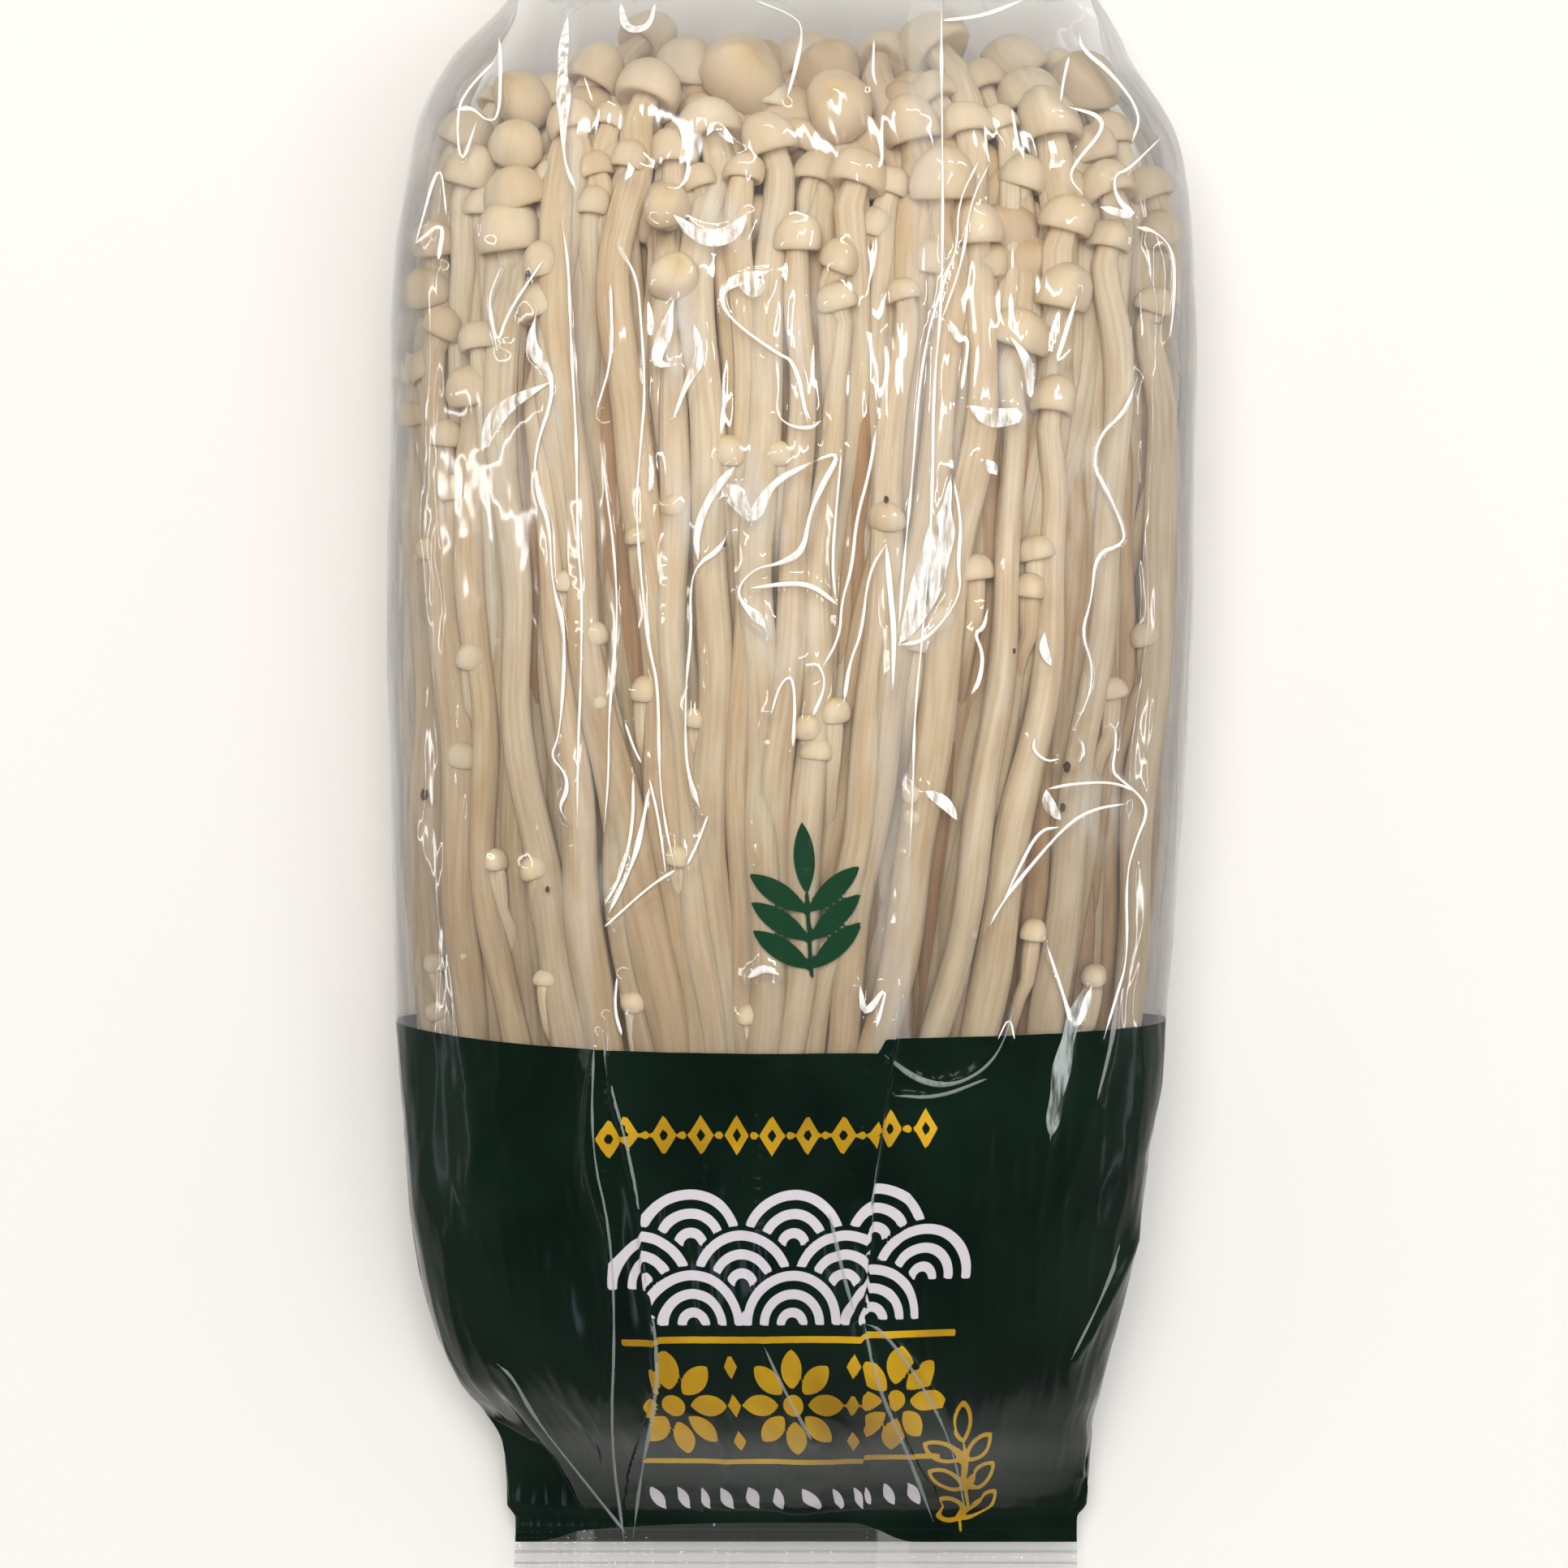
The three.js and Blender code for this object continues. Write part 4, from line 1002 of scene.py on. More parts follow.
# The printed part has room below the stems' widest spread, so its film is looser.
loose = (0.35 + 0.25 * on_front) * (1 + facets(film_u / 17 + 5, film_y / 24, 21)) * smooth(-30, -44, film_y)
flat_end = smooth(99, 97, np.abs(film_y))
film_depth = film_depth - (fold_height + gathers + crumple + loose) * (0.15 + 0.85 * flat_end)
film_depth = np.minimum(film_depth, limit)
print("the film stands up to", round(float(-film_depth.min()), 2), "mm proud of the CAD tube")

# %% [markdown]
# ## Welds and tucked-in corners
#
# A jaw has pressed each end flat and left a crimp of fine ribs across it. At the foot the bag's corners are
# tucked in before the weld is made, so beyond a slanting fold the film drops to a lower layer.

# %% Place every point of the film
WELD_THICKNESS_SHARE = 0.3
CRIMP_PITCH, CRIMP_HEIGHT = 1.5, 0.1
# Each slanting fold from its upper to its lower end, the side that is tucked in, and how far it drops.
CORNERS = {
    "left": ((-37.0, -77.5), (-20.5, -99.0), -1, 4.5),
    "right": ((37.0, -83.0), (30.0, -103.0), 1, 3.0),
}

shrink = 1 - film_depth / np.hypot(face_x, face_z)
in_weld = smooth(96.5, 99.5, np.abs(film_y))
rise = face_z * shrink * (1 - (1 - WELD_THICKNESS_SHARE) * in_weld)
crimp = CRIMP_HEIGHT * np.sin(FULL_TURN * film_y / CRIMP_PITCH) * smooth(99.5, 100.5, np.abs(film_y))
film_z = np.maximum(film_middle + rise + crimp, 0.0)
beyond_corner = {}
for corner, ((x1, y1), (x2, y2), side, drop) in CORNERS.items():
    gap = side * ((front_x - x1) * (y1 - y2) + (front_y - y1) * (x2 - x1)) / math.hypot(x2 - x1, y2 - y1)
    there = smooth(-0.1, 0.7, gap) * smooth(-78, -87, front_y) * smooth(-101, -97, front_y) * on_front
    film_z = np.maximum(film_z - drop * there, np.minimum(film_z, film_middle + 0.5))
    beyond_corner[corner] = gap
film_z[[0, -1]] = film_middle[[0, -1]]
film_points = np.stack([face_x * shrink + profile(SWAY, film_y), film_y, film_z], axis=-1)
seen_x, seen_y = seen_from_above(film_points[..., 0], film_points[..., 1], film_points[..., 2])
print("film box, mm:", film_points.min(axis=(0, 1)).round(1), film_points.max(axis=(0, 1)).round(1))

# %% [markdown]
# ## Pinches
#
# The sharpest part of a fold is a pinch: two layers of film pressed into a crest a few tenths of a
# millimetre wide. The grid of the film is too coarse for that, so each pinch is a slim ribbon with a roof
# shape, laid on the film along its fold. It really stands up, so it glints from every side.

# %% Find the film under any point
surface = film_points[:, :FRONT_COLUMNS].reshape(-1, 3)
seen_surface = np.stack([seen_x[:, :FRONT_COLUMNS].ravel(), seen_y[:, :FRONT_COLUMNS].ravel()], axis=1)
tree_of_film = mathutils.kdtree.KDTree(len(surface))
for index, (x, y) in enumerate(seen_surface):
    tree_of_film.insert((x, y, 0), index)
tree_of_film.balance()


def on_film(x, y):
    """The point of the film that shows at x, y from above: a mean of the nearest, closest weighted most."""
    found = tree_of_film.find_n((x, y, 0), 4)
    weights = np.array([1 / (0.02 + gap**2) for _, _, gap in found])
    z = float((weights * surface[[index for _, index, _ in found], 2]).sum() / weights.sum())
    zoom = (VIEW_DISTANCE + VIEW_LEVEL - z) / VIEW_DISTANCE
    return VIEW_CENTRE[0] + (x - VIEW_CENTRE[0]) * zoom, VIEW_CENTRE[1] + (y - VIEW_CENTRE[1]) * zoom, z


print("points of film to lie on:", len(surface))

# %% Make the ribbons
PINCH_STEPS = 5  # points across a ribbon
PINCH_CLEARANCE = 0.04  # between a ribbon and the film


def pinch(points, number):
    """A ribbon along a fold: rows of five points, low at its sides and high in the middle."""
    line = chain(points)
    direction = unit(np.gradient(line[:, :2], axis=0))
    aside = np.stack([-direction[:, 1], direction[:, 0]], axis=1)
    share = np.linspace(0, 1, len(line))
    taper = smooth(0, 0.07, share) * smooth(1, 0.93, share)
    swell = 1 + 0.45 * noise(share * len(line) / 7, 0 * share, 30 + number)
    half = np.maximum(0.03, line[:, 2] * taper * swell)
    rows = []
    for place, sideways, width in zip(line, aside, half):
        height = 0.06 + 0.35 * min(width, 0.35)
        row = []
        for share_across in np.linspace(-1, 1, PINCH_STEPS):
            x, y, z = on_film(*(place[:2] + sideways * width * share_across))
            row.append((x, y, z + height * (1 - abs(share_across)) + PINCH_CLEARANCE))
        rows.append(row)
    return np.array(rows), half


def ribbons(lines, first_number):
    """All ribbons of a list of folds as one set of points and quads, with their half width at each point."""
    points, quads, breadth, count = [], [], [], 0
    for number, line in enumerate(lines):
        rows, half = pinch(line, first_number + number)
        n = len(rows)
        breadth.append(np.repeat(half, PINCH_STEPS))
        corner = (np.arange(n - 1)[:, None] * PINCH_STEPS + np.arange(PINCH_STEPS - 1)).ravel() + count
        quads.append(np.stack([corner, corner + 1, corner + PINCH_STEPS + 1, corner + PINCH_STEPS], axis=1))
        points.append(rows.reshape(-1, 3))
        count += n * PINCH_STEPS
    points = np.vstack(points)
    return points, np.vstack(quads), {"breadth": np.concatenate(breadth), "lay": points}


window_pinches = ribbons(FOLDS, 0)
print_pinches = ribbons(PLEATS, 100)
print("pinches:", len(window_pinches[0]) + len(print_pinches[0]), "points")

# %% [markdown]
# ## Crumbs of sawdust
#
# Enoki are grown on damp sawdust, and a few crumbs of it stay on the stems. Each is a small uneven lump
# that lies just under the film.

# %% Set crumbs of sawdust on the stems: x and y as seen from above, and length
CRUMBS = [(-45.4, -6.4, 1.5), (33.9, -3, 1.4), (33.4, -8, 1.1), (27.4, 11.3, 0.7), (11.6, 30, 0.9),
          (-32.6, 57.7, 1.1), (-30.2, -18.1, 0.8), (-8.3, 24.5, 0.7)]
CRUMB_RINGS, CRUMB_SIDES, CRUMB_DEPTH = 6, 9, 0.5
crumbs = Crop()
polar = np.linspace(0.3, math.pi - 0.3, CRUMB_RINGS)[:, None]
around = -FULL_TURN * np.arange(CRUMB_SIDES) / CRUMB_SIDES
for number, (x, y, length) in enumerate(CRUMBS):
    uneven = 0.75 + 0.5 * scatter(np.arange(CRUMB_RINGS * CRUMB_SIDES) + 60 * number, 71)
    girth = length * np.sin(polar) * uneven.reshape(CRUMB_RINGS, CRUMB_SIDES)
    lump = np.stack([0.3 * girth * np.cos(around), 0 * girth - 0.5 * length * np.cos(polar),
                     0.25 * girth * np.sin(around)], axis=-1)
    lump = lump + np.array(on_film(x, y)) - np.array([0, 0, CRUMB_DEPTH])
    crumbs.add(lump, np.zeros(CRUMB_RINGS), np.zeros(CRUMB_RINGS), lump, 0.0)
print("crumbs:", crumbs.count, "points")

# %% [markdown]
# ## Printed artwork
#
# The lower part of the bag is printed dark green on the inside, with gold and white ornaments. An image
# would blur and would have to be carried along as a file. Instead each ornament is a rule that gives the
# distance from any point of the film to its outline in millimetres. Stored on the mesh, that distance
# lets the material draw an edge as sharp as ink, and round shapes stay round over every fold.

# %% Distance rules for simple ornaments: below 0 inside, above 0 outside
def disc(x, y, radius):
    """A filled circle."""
    return np.hypot(x, y) - radius


def ring(x, y, radius, stroke):
    """A circle drawn with a stroke."""
    return np.abs(np.hypot(x, y) - radius) - stroke / 2


def lozenge(x, y, half_width, half_height):
    """A square stood on its corner and stretched."""
    share = np.abs(x) / half_width + np.abs(y) / half_height - 1
    return share * half_width * half_height / math.hypot(half_width, half_height)


def bar(x, y, half_width, half_height):
    """A filled rectangle."""
    return np.maximum(np.abs(x) - half_width, np.abs(y) - half_height)


def petal(x, y, length, breadth):
    """A leaf from the origin along +y: where two discs overlap."""
    radius = (length**2 / 4 + breadth**2 / 4) / breadth
    offset = radius - breadth / 2
    return np.hypot(np.abs(x) + offset, y - length / 2) - radius


def turned(x, y, degrees):
    """Coordinates in which an ornament is turned anticlockwise."""
    a = math.radians(degrees)
    return x * math.cos(a) + y * math.sin(a), -x * math.sin(a) + y * math.cos(a)


def nearest(*distances):
    """All of some shapes as one."""
    return np.minimum.reduce(distances)


def repeated(x, pitch, count):
    """The offset of x from the nearest of a row of count places, centred on 0."""
    place = np.clip(np.round(x / pitch + (count - 1) / 2), 0, count - 1) - (count - 1) / 2
    return x - place * pitch


def sprig(x, y, length, pairs, leaf_length, leaf_breadth):
    """A stalk along +y with pairs of leaves and one at its tip."""
    stalk = bar(x, y - length / 2, 0.22, length / 2)
    shape = nearest(stalk, petal(x, y - length, leaf_length, leaf_breadth))
    for pair in range(pairs):
        foot = length * (pair + 0.35) / pairs
        for side in (-1, 1):
            px, py = turned(x, y - foot, -side * 54)
            shape = nearest(shape, petal(px, py, leaf_length, leaf_breadth))
    return shape


def outlined(shape, half_stroke):
    """The outline of a shape, drawn just inside it."""
    return np.abs(shape + half_stroke) - half_stroke


print("ornaments are measured at", film_y.size, "points")

# %% Where the ink lies once the film is tucked: u round the bag, v along it
TUCK_LEFT, TUCK_RIGHT = 2.4, 2.8  # film that is hidden in each tuck
left_of_tuck = smooth(0.1, -0.1, side_of(LEFT_TUCK, seen_x, seen_y)) * on_front
right_of_tuck = smooth(-0.1, 0.1, side_of(RIGHT_TUCK_HIGH + RIGHT_TUCK_OUTER[:1], seen_x, seen_y)) * on_front
u = film_u + 0.8 * profile(SWAY, film_y) - TUCK_LEFT * left_of_tuck + TUCK_RIGHT * right_of_tuck
v = film_y - 0.7 * right_of_tuck + 0.5 * left_of_tuck
print("the ink spans", round(float(np.ptp(u)), 1), "mm round the film")

# %% Gold: a chain of lozenges, and rosettes between two rules
CHAIN_Y, CHAIN_PITCH, CHAIN_LINKS = -46.6, 4.5, 11
ROSETTES_Y, ROSETTE_PITCH, ROSETTE_PETALS, RULE_OFFSET = -80.5, 17.6, 8, 8.9

bx, by = repeated(u + 2.2, CHAIN_PITCH, CHAIN_LINKS), v - CHAIN_Y
links = nearest(lozenge(bx, by, 1.55, 2.4), disc(repeated(u + 2.2, CHAIN_PITCH, CHAIN_LINKS - 1), by, 0.45))
links = np.maximum(links, -lozenge(bx, by, 0.6, 0.95))
rx, ry = repeated(u - 0.6, ROSETTE_PITCH, 3), v - ROSETTES_Y
between = repeated(u - 0.6, ROSETTE_PITCH, 2)
rosettes = np.full(film_y.shape, FAR)
for k in range(ROSETTE_PETALS):
    px, py = turned(rx, ry, 360 / ROSETTE_PETALS * k)
    rosettes = nearest(rosettes, petal(px, py - 2.3, 5.3, 3.0))
rosettes = nearest(rosettes, disc(rx, ry, 1.5))
for offset in (-5.4, 0, 5.4):
    rosettes = nearest(rosettes, lozenge(between, ry - offset, 0.9, 1.7))
for side in (-1, 1):
    rosettes = nearest(rosettes, bar(u - 0.6, ry - side * RULE_OFFSET, 26.2, 0.4))
gold = nearest(links, rosettes)
print("gold points:", int((gold < 0).sum()))

# %% White: three rows of wave scales, and a border of leaves
WAVES_Y, SCALE_PITCH, ROW_GAP, SCALE_RADIUS = -59.9, 13.6, 4.9, 6.9
RING_RADII, RING_STROKE = (1.6, 3.9, 6.2), 1.15
BORDER_Y, BORDER_PITCH, BORDER_LEAVES = -97.6, 3.9, 12

waves = np.full(film_y.shape, FAR)
for row, count in enumerate((3, 4, 3)):
    wx, wy = repeated(u - 0.8, SCALE_PITCH, count), v - (WAVES_Y - ROW_GAP * row)
    scallop = nearest(*(ring(wx, wy, radius, RING_STROKE) for radius in RING_RADII))
    # A row of scales hides the feet of the row above it.
    waves = np.maximum(waves, -np.maximum(disc(wx, wy, SCALE_RADIUS + 0.5), -wy))
    waves = nearest(waves, np.maximum(scallop, -wy))
border_x, border_y = turned(repeated(u - 1.0, BORDER_PITCH, BORDER_LEAVES), v - BORDER_Y, 28)
white = nearest(waves, petal(border_x, border_y, 4.2, 1.7))
print("white points:", int((white < 0).sum()))

# %% Sprigs: two outlined in gold, and one green on the clear film
# One is in the lower right corner, and one half hidden on the tucked-in left corner.
gold_sprig = outlined(sprig(*turned(u - 31.5, v + 101.5, 8), 14.5, 3, 6.6, 3.4), 0.3)
hidden_sprig = outlined(sprig(*turned(u + 22.0, v + 102.0, 52), 13.0, 3, 5.6, 2.9), 0.3)
gold = nearest(gold, gold_sprig, np.maximum(hidden_sprig, 0.4 - beyond_corner["left"]))
leaf = sprig(*turned(u - 2.6, v + 28.0, 4), 10.0, 3, 8.4, 2.5)
print("green points:", int((leaf < 0).sum()))

# %% [markdown]
# ## Scuffed and doubled film, and painted sheen
#
# Clear film isn't equally clear all over. Beside the two long folds it lies double, and where it has been
# folded back on itself it stays scuffed and milky. Those milky spots are partly scuffs and partly painted
# sheen. A veil from 0 to 1 says how milky each point is.

# %% Veil of doubled and rumpled film, with painted sheen on the rumpled spots
VEIL_LEFT, VEIL_RIGHT = 2.2, 4.2  # how far the film lies double beside each long fold
VEIL_SHARE = 0.35
# Rumpled spots, painted milky partly as scuffs and partly as sheen: x, y, half width, half length, share.
RUMPLED_SPOTS_AND_SHEEN = [
    (-3.2, 29.5, 6.5, 6, 0.8), (-12.3, 29.5, 2.6, 5.5, 1.0), (-1, 12.5, 4, 5, 0.7), (-14, 50, 2.6, 6, 0.9),
    (-29, 36, 2.4, 9, 0.6), (19.5, 33, 4, 11, 0.5), (15.5, 20, 4, 9, 0.7), (26.5, 44, 3.5, 6, 0.6),
    (-8, 64, 5, 3.5, 0.8), (0.5, 49, 5.5, 7, 0.6), (36, 30, 3.5, 12, 0.5), (-35, 31, 4, 12, 0.4),
    (-25.5, -17, 4, 6, 0.4), (38, -9, 4, 5, 0.5), (12, -20, 2.2, 14, 0.5),
]

beside_left = side_of(LONG_FOLD_LEFT, seen_x, seen_y)
beside_right = side_of(LONG_FOLD_RIGHT, seen_x, seen_y)
veil_and_sheen = smooth(-VEIL_RIGHT, -VEIL_RIGHT + 0.3, beside_right) * smooth(0.1, -0.1, beside_right)
veil_and_sheen = veil_and_sheen + 0.6 * smooth(VEIL_LEFT, VEIL_LEFT - 0.3, beside_left) * smooth(-0.1, 0.1, beside_left)
veil_and_sheen = VEIL_SHARE * veil_and_sheen
fine_tears = 0.35 * noise(seen_x / 0.5, seen_y / 2, 62)
# Each rumpled spot is painted milky: partly scuffed film, partly painted sheen.
for x, y, half_width, half_length, share in RUMPLED_SPOTS_AND_SHEEN:
    away = ((seen_x - x) / half_width) ** 2 + ((seen_y - y) / half_length) ** 2
    torn = 0.55 + 0.75 * noise(seen_x / 1.1 + x, seen_y / 4.5 + y, 61) + fine_tears
    veil_and_sheen = np.maximum(veil_and_sheen, share * np.exp(-away**1.5) * np.clip(torn, 0, 1))
veil_and_sheen = veil_and_sheen * on_front
print("share of veiled film:", round(float((veil_and_sheen > 0.3).mean()), 3))

# %% [markdown]
# ## Meshes
#
# Every crop becomes one mesh, since all of it is one grown bunch of one flesh. The film is one surface cut
# where its finish changes, at the edge of the print, and along the sides.

# %% Make meshes, hang them on the root body and hide the CAD parts they stand in for
def mesh_piece(name, points, quads, tris, node, attributes):
    """A smooth piece on the root body that stands in for a CAD node."""
    mesh = bpy.data.meshes.new(name)
    quads = np.asarray(quads, dtype=np.int32).reshape(-1, 4)
    tris = np.asarray(tris, dtype=np.int32).reshape(-1, 3)
    mesh.vertices.add(len(points))
    mesh.vertices.foreach_set("co", (np.asarray(points, dtype=np.float32) * MM).ravel())
    mesh.loops.add(quads.size + tris.size)
    mesh.loops.foreach_set("vertex_index", np.concatenate([quads.ravel(), tris.ravel()]))
    mesh.polygons.add(len(quads) + len(tris))
    starts = np.concatenate([np.arange(len(quads)) * 4, quads.size + np.arange(len(tris)) * 3])
    mesh.polygons.foreach_set("loop_start", starts.astype(np.int32))
    mesh.polygons.foreach_set("use_smooth", np.ones(len(starts), dtype=bool))
    mesh.update(calc_edges=True)
    mesh.validate()
    for key, values in attributes.items():
        values = np.asarray(values, dtype=np.float32)
        vector = values.ndim == 2
        layer = mesh.attributes.new(key, "FLOAT_VECTOR" if vector else "FLOAT", "POINT")
        layer.data.foreach_set("vector" if vector else "value", values.ravel())
    piece = bpy.data.objects.new(name, mesh)
    bpy.context.scene.collection.objects.link(piece)
    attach(piece, "root")
    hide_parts(node)
    print(name, len(points), "points", 2 * len(quads) + len(tris), "triangles")
    return piece


# %% The mushrooms and the crumbs
# For the rows behind and the root clump, a low lightest tone paints the flesh darker and browner as painted
# shade: lightest tone and its spread.
TONES_AND_PAINTED_SHADE = {"mushrooms_front": (1.0, 0.4), "young_mushrooms": (1.0, 0.4), "mushrooms_behind": (0.4, 0.3),
         "mushrooms_back": (1.0, 0.4), "root_clump": (0.3, 0.2)}
bunch_pieces = []
for name, crop in crops.items():
    lightest, spread_of_tone = TONES_AND_PAINTED_SHADE[name]
    crop.points[0][:, 0] += profile(SWAY, crop.points[0][:, 1])
    attributes = {
        "growth": np.concatenate(crop.growth),
        "centre": np.concatenate(crop.centre),
        # The tone is a random draw, lowered here for the pieces deep in the bunch as painted shade.
        "tone": lightest - (1 - np.concatenate(crop.tone)) * spread_of_tone,
        "grain": np.vstack(crop.grain),
    }
    bunch_pieces.append(mesh_piece(name, crop.points[0], np.vstack(crop.quads), np.vstack(crop.tris),
                                   "enoki_bunch", attributes))
crumb_piece = mesh_piece("sawdust_crumbs", np.vstack(crumbs.points), np.vstack(crumbs.quads),
                         np.vstack(crumbs.tris), "enoki_bunch",
                         {"grain": np.vstack(crumbs.grain)})

# %% The film, cut where its finish changes
def film_piece(name, first_row, last_row, columns):
    """A patch of the film between two rows, over a run of columns."""
    rows = np.arange(first_row, last_row + 1)
    take = np.ix_(rows, columns)
    width = len(columns)
    corner = (np.arange(len(rows) - 1)[:, None] * width + np.arange(width - 1)).ravel()
    quads = np.stack([corner, corner + width, corner + width + 1, corner + 1], axis=1)
    lay = np.stack([film_u[take], film_y[take], 0 * film_y[take]], axis=-1).reshape(-1, 3)
    attributes = {"lay": lay, "gold": gold[take].ravel(), "white": white[take].ravel(),
                  "leaf": leaf[take].ravel(), "veil_and_sheen": veil_and_sheen[take].ravel()}
    return mesh_piece(name, film_points[take].reshape(-1, 3), quads, [], "film_bag", attributes)


def front_and_back(name, first_row, last_row):
    """The front and the back patch between two rows."""
    return [film_piece(name + "_" + side, first_row, last_row, columns)
            for side, columns in SIDES.items()]


SIDES = {"front": np.arange(FRONT_COLUMNS),
         "back": np.concatenate([np.arange(FRONT_COLUMNS - 1, len(angles)), [0]])}
print_low, print_high, window_high, last_row = row_marks[1:]
window_pieces = (front_and_back("film_window", print_high, window_high)
                 + front_and_back("weld_foot", 0, print_low)
                 + front_and_back("weld_head", window_high, last_row))
print_pieces = front_and_back("film_print", print_low, print_high)
pinch_pieces = [
    mesh_piece(name, points, quads, [], "film_bag", attributes)
    for name, (points, quads, attributes) in (("film_pinches_window", window_pinches),
                                              ("film_pinches_print", print_pinches))
]

# %% [markdown]
# ## Materials
#
# One function adds a node with its settings and its links, and one turns sRGB hex, as a colour card
# gives it, into the linear values that Cycles works in.

# %% Helpers for nodes and colours
WHITE, BLACK = (1, 1, 1, 1), (0, 0, 0, 1)


def linear(hex_colour):
    """An sRGB hex colour as linear RGBA."""
    values = [int(hex_colour[i:i + 2], 16) / 255 for i in (1, 3, 5)]
    return (*[v / 12.92 if v <= 0.04045 else ((v + 0.055) / 1.055) ** 2.4 for v in values], 1.0)


def add(tree, kind, settings=None, inputs=None, stops=()):
    """Adds a node. Settings are its properties. Inputs are values, or the sockets or nodes that feed them, a
    node by its first output. Stops are the positions and colours of a colour ramp."""
    node = tree.nodes.new(kind)
    for key, value in (settings or {}).items():
        setattr(node, key, value)
    for key, value in (inputs or {}).items():
        socket = node.inputs[key]
        if isinstance(value, bpy.types.Node):
            value = value.outputs[0]
        if isinstance(value, bpy.types.NodeSocket):
            tree.links.new(value, socket)
        else:
            socket.default_value = value
    elements = node.color_ramp.elements if stops else []
    while len(elements) < len(stops):
        elements.new(0.5)
    for element, (position, colour) in zip(elements, stops):
        element.position = position
        element.color = linear(colour) if isinstance(colour, str) else colour
    return node


def new_material(name):
    """An empty material and its node tree."""
    material = bpy.data.materials.new(name)
    material.use_nodes = True
    material.node_tree.nodes.clear()
    return material, material.node_tree


def put_on(pieces, material, shader):
    """Ends a material in its surface shader and puts it on pieces."""
    add(material.node_tree, "ShaderNodeOutputMaterial", {}, {"Surface": shader.outputs[0]})
    for piece in pieces:
        piece.data.materials.append(material)
    print(material.name, "has", len(material.node_tree.nodes), "nodes, on", len(pieces), "pieces")


# %% [markdown]
# ### Enoki flesh
#
# Grown in the dark, enoki is almost without pigment: cream caps, ivory stems that go tan and then brown
# towards the root, all slightly see-through. Light enters, spreads a millimetre or two and comes out warm,
# which is why gaps between stems glow brown and not black, and the flesh deep in the bunch is painted
# browner as painted shade. The skin is smooth and damp, with long fibres that show as faint lines along
# each stem.

# %% Material: enoki flesh, grown, moist and smooth
FLESH_IOR, FLESH_ROUGHNESS = 1.38, 0.42  # mostly water, under a damp satin skin
FLESH_SCATTER, FLESH_SCATTER_DEPTH, FLESH_SCATTER_RGB = 0.22, 0.002, (1.0, 0.6, 0.35)
FIBRE_SCALE = (2.4, 2.4, 0.085)  # fibres about 0.4 mm apart round the stem and 12 mm long
MOTTLE_SCALE = (0.5, 0.5, 0.11)  # patches 2 mm wide and 9 mm long
CAP_START = 0.93  # growth above this is cap

flesh, tree = new_material("enoki_flesh_moist")
growth, centre, tone = (add(tree, "ShaderNodeAttribute", {"attribute_name": name}).outputs["Fac"]
                        for name in ("growth", "centre", "tone"))
grain = add(tree, "ShaderNodeAttribute", {"attribute_name": "grain"}).outputs["Vector"]
stem_colour = add(tree, "ShaderNodeValToRGB", {}, {"Fac": growth}, [
    (0.0, "#8d7a62"), (0.12, "#9f8d75"), (0.3, "#bfb199"), (0.55, "#d9cdb8"), (0.88, "#e4d9c5"),
    (1.0, "#dfcfb5")])
cap_colour = add(tree, "ShaderNodeValToRGB", {}, {"Fac": centre}, [
    (0.0, "#d2ba90"), (0.28, "#dac8a6"), (0.6, "#dfd1b6"), (1.0, "#e2d5be")])
is_cap = add(tree, "ShaderNodeMath", {"operation": "GREATER_THAN"}, {0: growth, 1: CAP_START})
is_stem = add(tree, "ShaderNodeMath", {"operation": "SUBTRACT"}, {0: 1.0, 1: is_cap})
colour = add(tree, "ShaderNodeMix", {"data_type": "RGBA"}, {
    "Factor": is_cap, 6: stem_colour, 7: cap_colour}).outputs[2]
fibre_place = add(tree, "ShaderNodeMapping", {}, {"Vector": grain, "Scale": FIBRE_SCALE})
fibres = add(tree, "ShaderNodeTexNoise", {}, {
    "Vector": fibre_place, "Scale": 1.0, "Detail": 3.0}).outputs["Fac"]
mottle_place = add(tree, "ShaderNodeMapping", {}, {"Vector": grain, "Scale": MOTTLE_SCALE})
mottle = add(tree, "ShaderNodeTexNoise", {}, {
    "Vector": mottle_place, "Scale": 1.0, "Detail": 4.0}).outputs["Fac"]
# The tone tint browns stems more than caps; deep in the bunch its brown is painted shade.
tone_and_shade_share = add(tree, "ShaderNodeMapRange", {}, {"Value": is_stem, "To Min": 0.45, "To Max": 0.85})
TINTS = [
    (fibres, is_stem, [(0.32, "#efe7da"), (0.6, "#ffffff")]),
    (mottle, 0.85, [(0.28, "#efe6d8"), (0.62, "#ffffff")]),
    # The dark brown end of this tint is painted shade for the flesh deep in the bunch.
    (tone, tone_and_shade_share, [(0.0, "#c2966b"), (0.5, "#f5e9d8"), (1.0, "#ffffff")]),
]
for pattern, share, stops in TINTS:
    tint = add(tree, "ShaderNodeValToRGB", {}, {"Fac": pattern}, stops)
    colour = add(tree, "ShaderNodeMix", {"data_type": "RGBA", "blend_type": "MULTIPLY"}, {
        "Factor": share, 6: colour, 7: tint}).outputs[2]
# The skin of a cap is smooth: the fibres stand out on the stems alone.
relief = add(tree, "ShaderNodeMath", {"operation": "MULTIPLY"}, {0: fibres, 1: is_stem})
bump = add(tree, "ShaderNodeBump", {}, {"Height": relief, "Strength": 0.26, "Distance": 0.0002})
put_on(bunch_pieces, flesh, add(tree, "ShaderNodeBsdfPrincipled", {}, {
    "Base Color": colour, "Roughness": FLESH_ROUGHNESS, "IOR": FLESH_IOR, "Subsurface Weight": FLESH_SCATTER,
    "Subsurface Radius": FLESH_SCATTER_RGB, "Subsurface Scale": FLESH_SCATTER_DEPTH, "Normal": bump}))

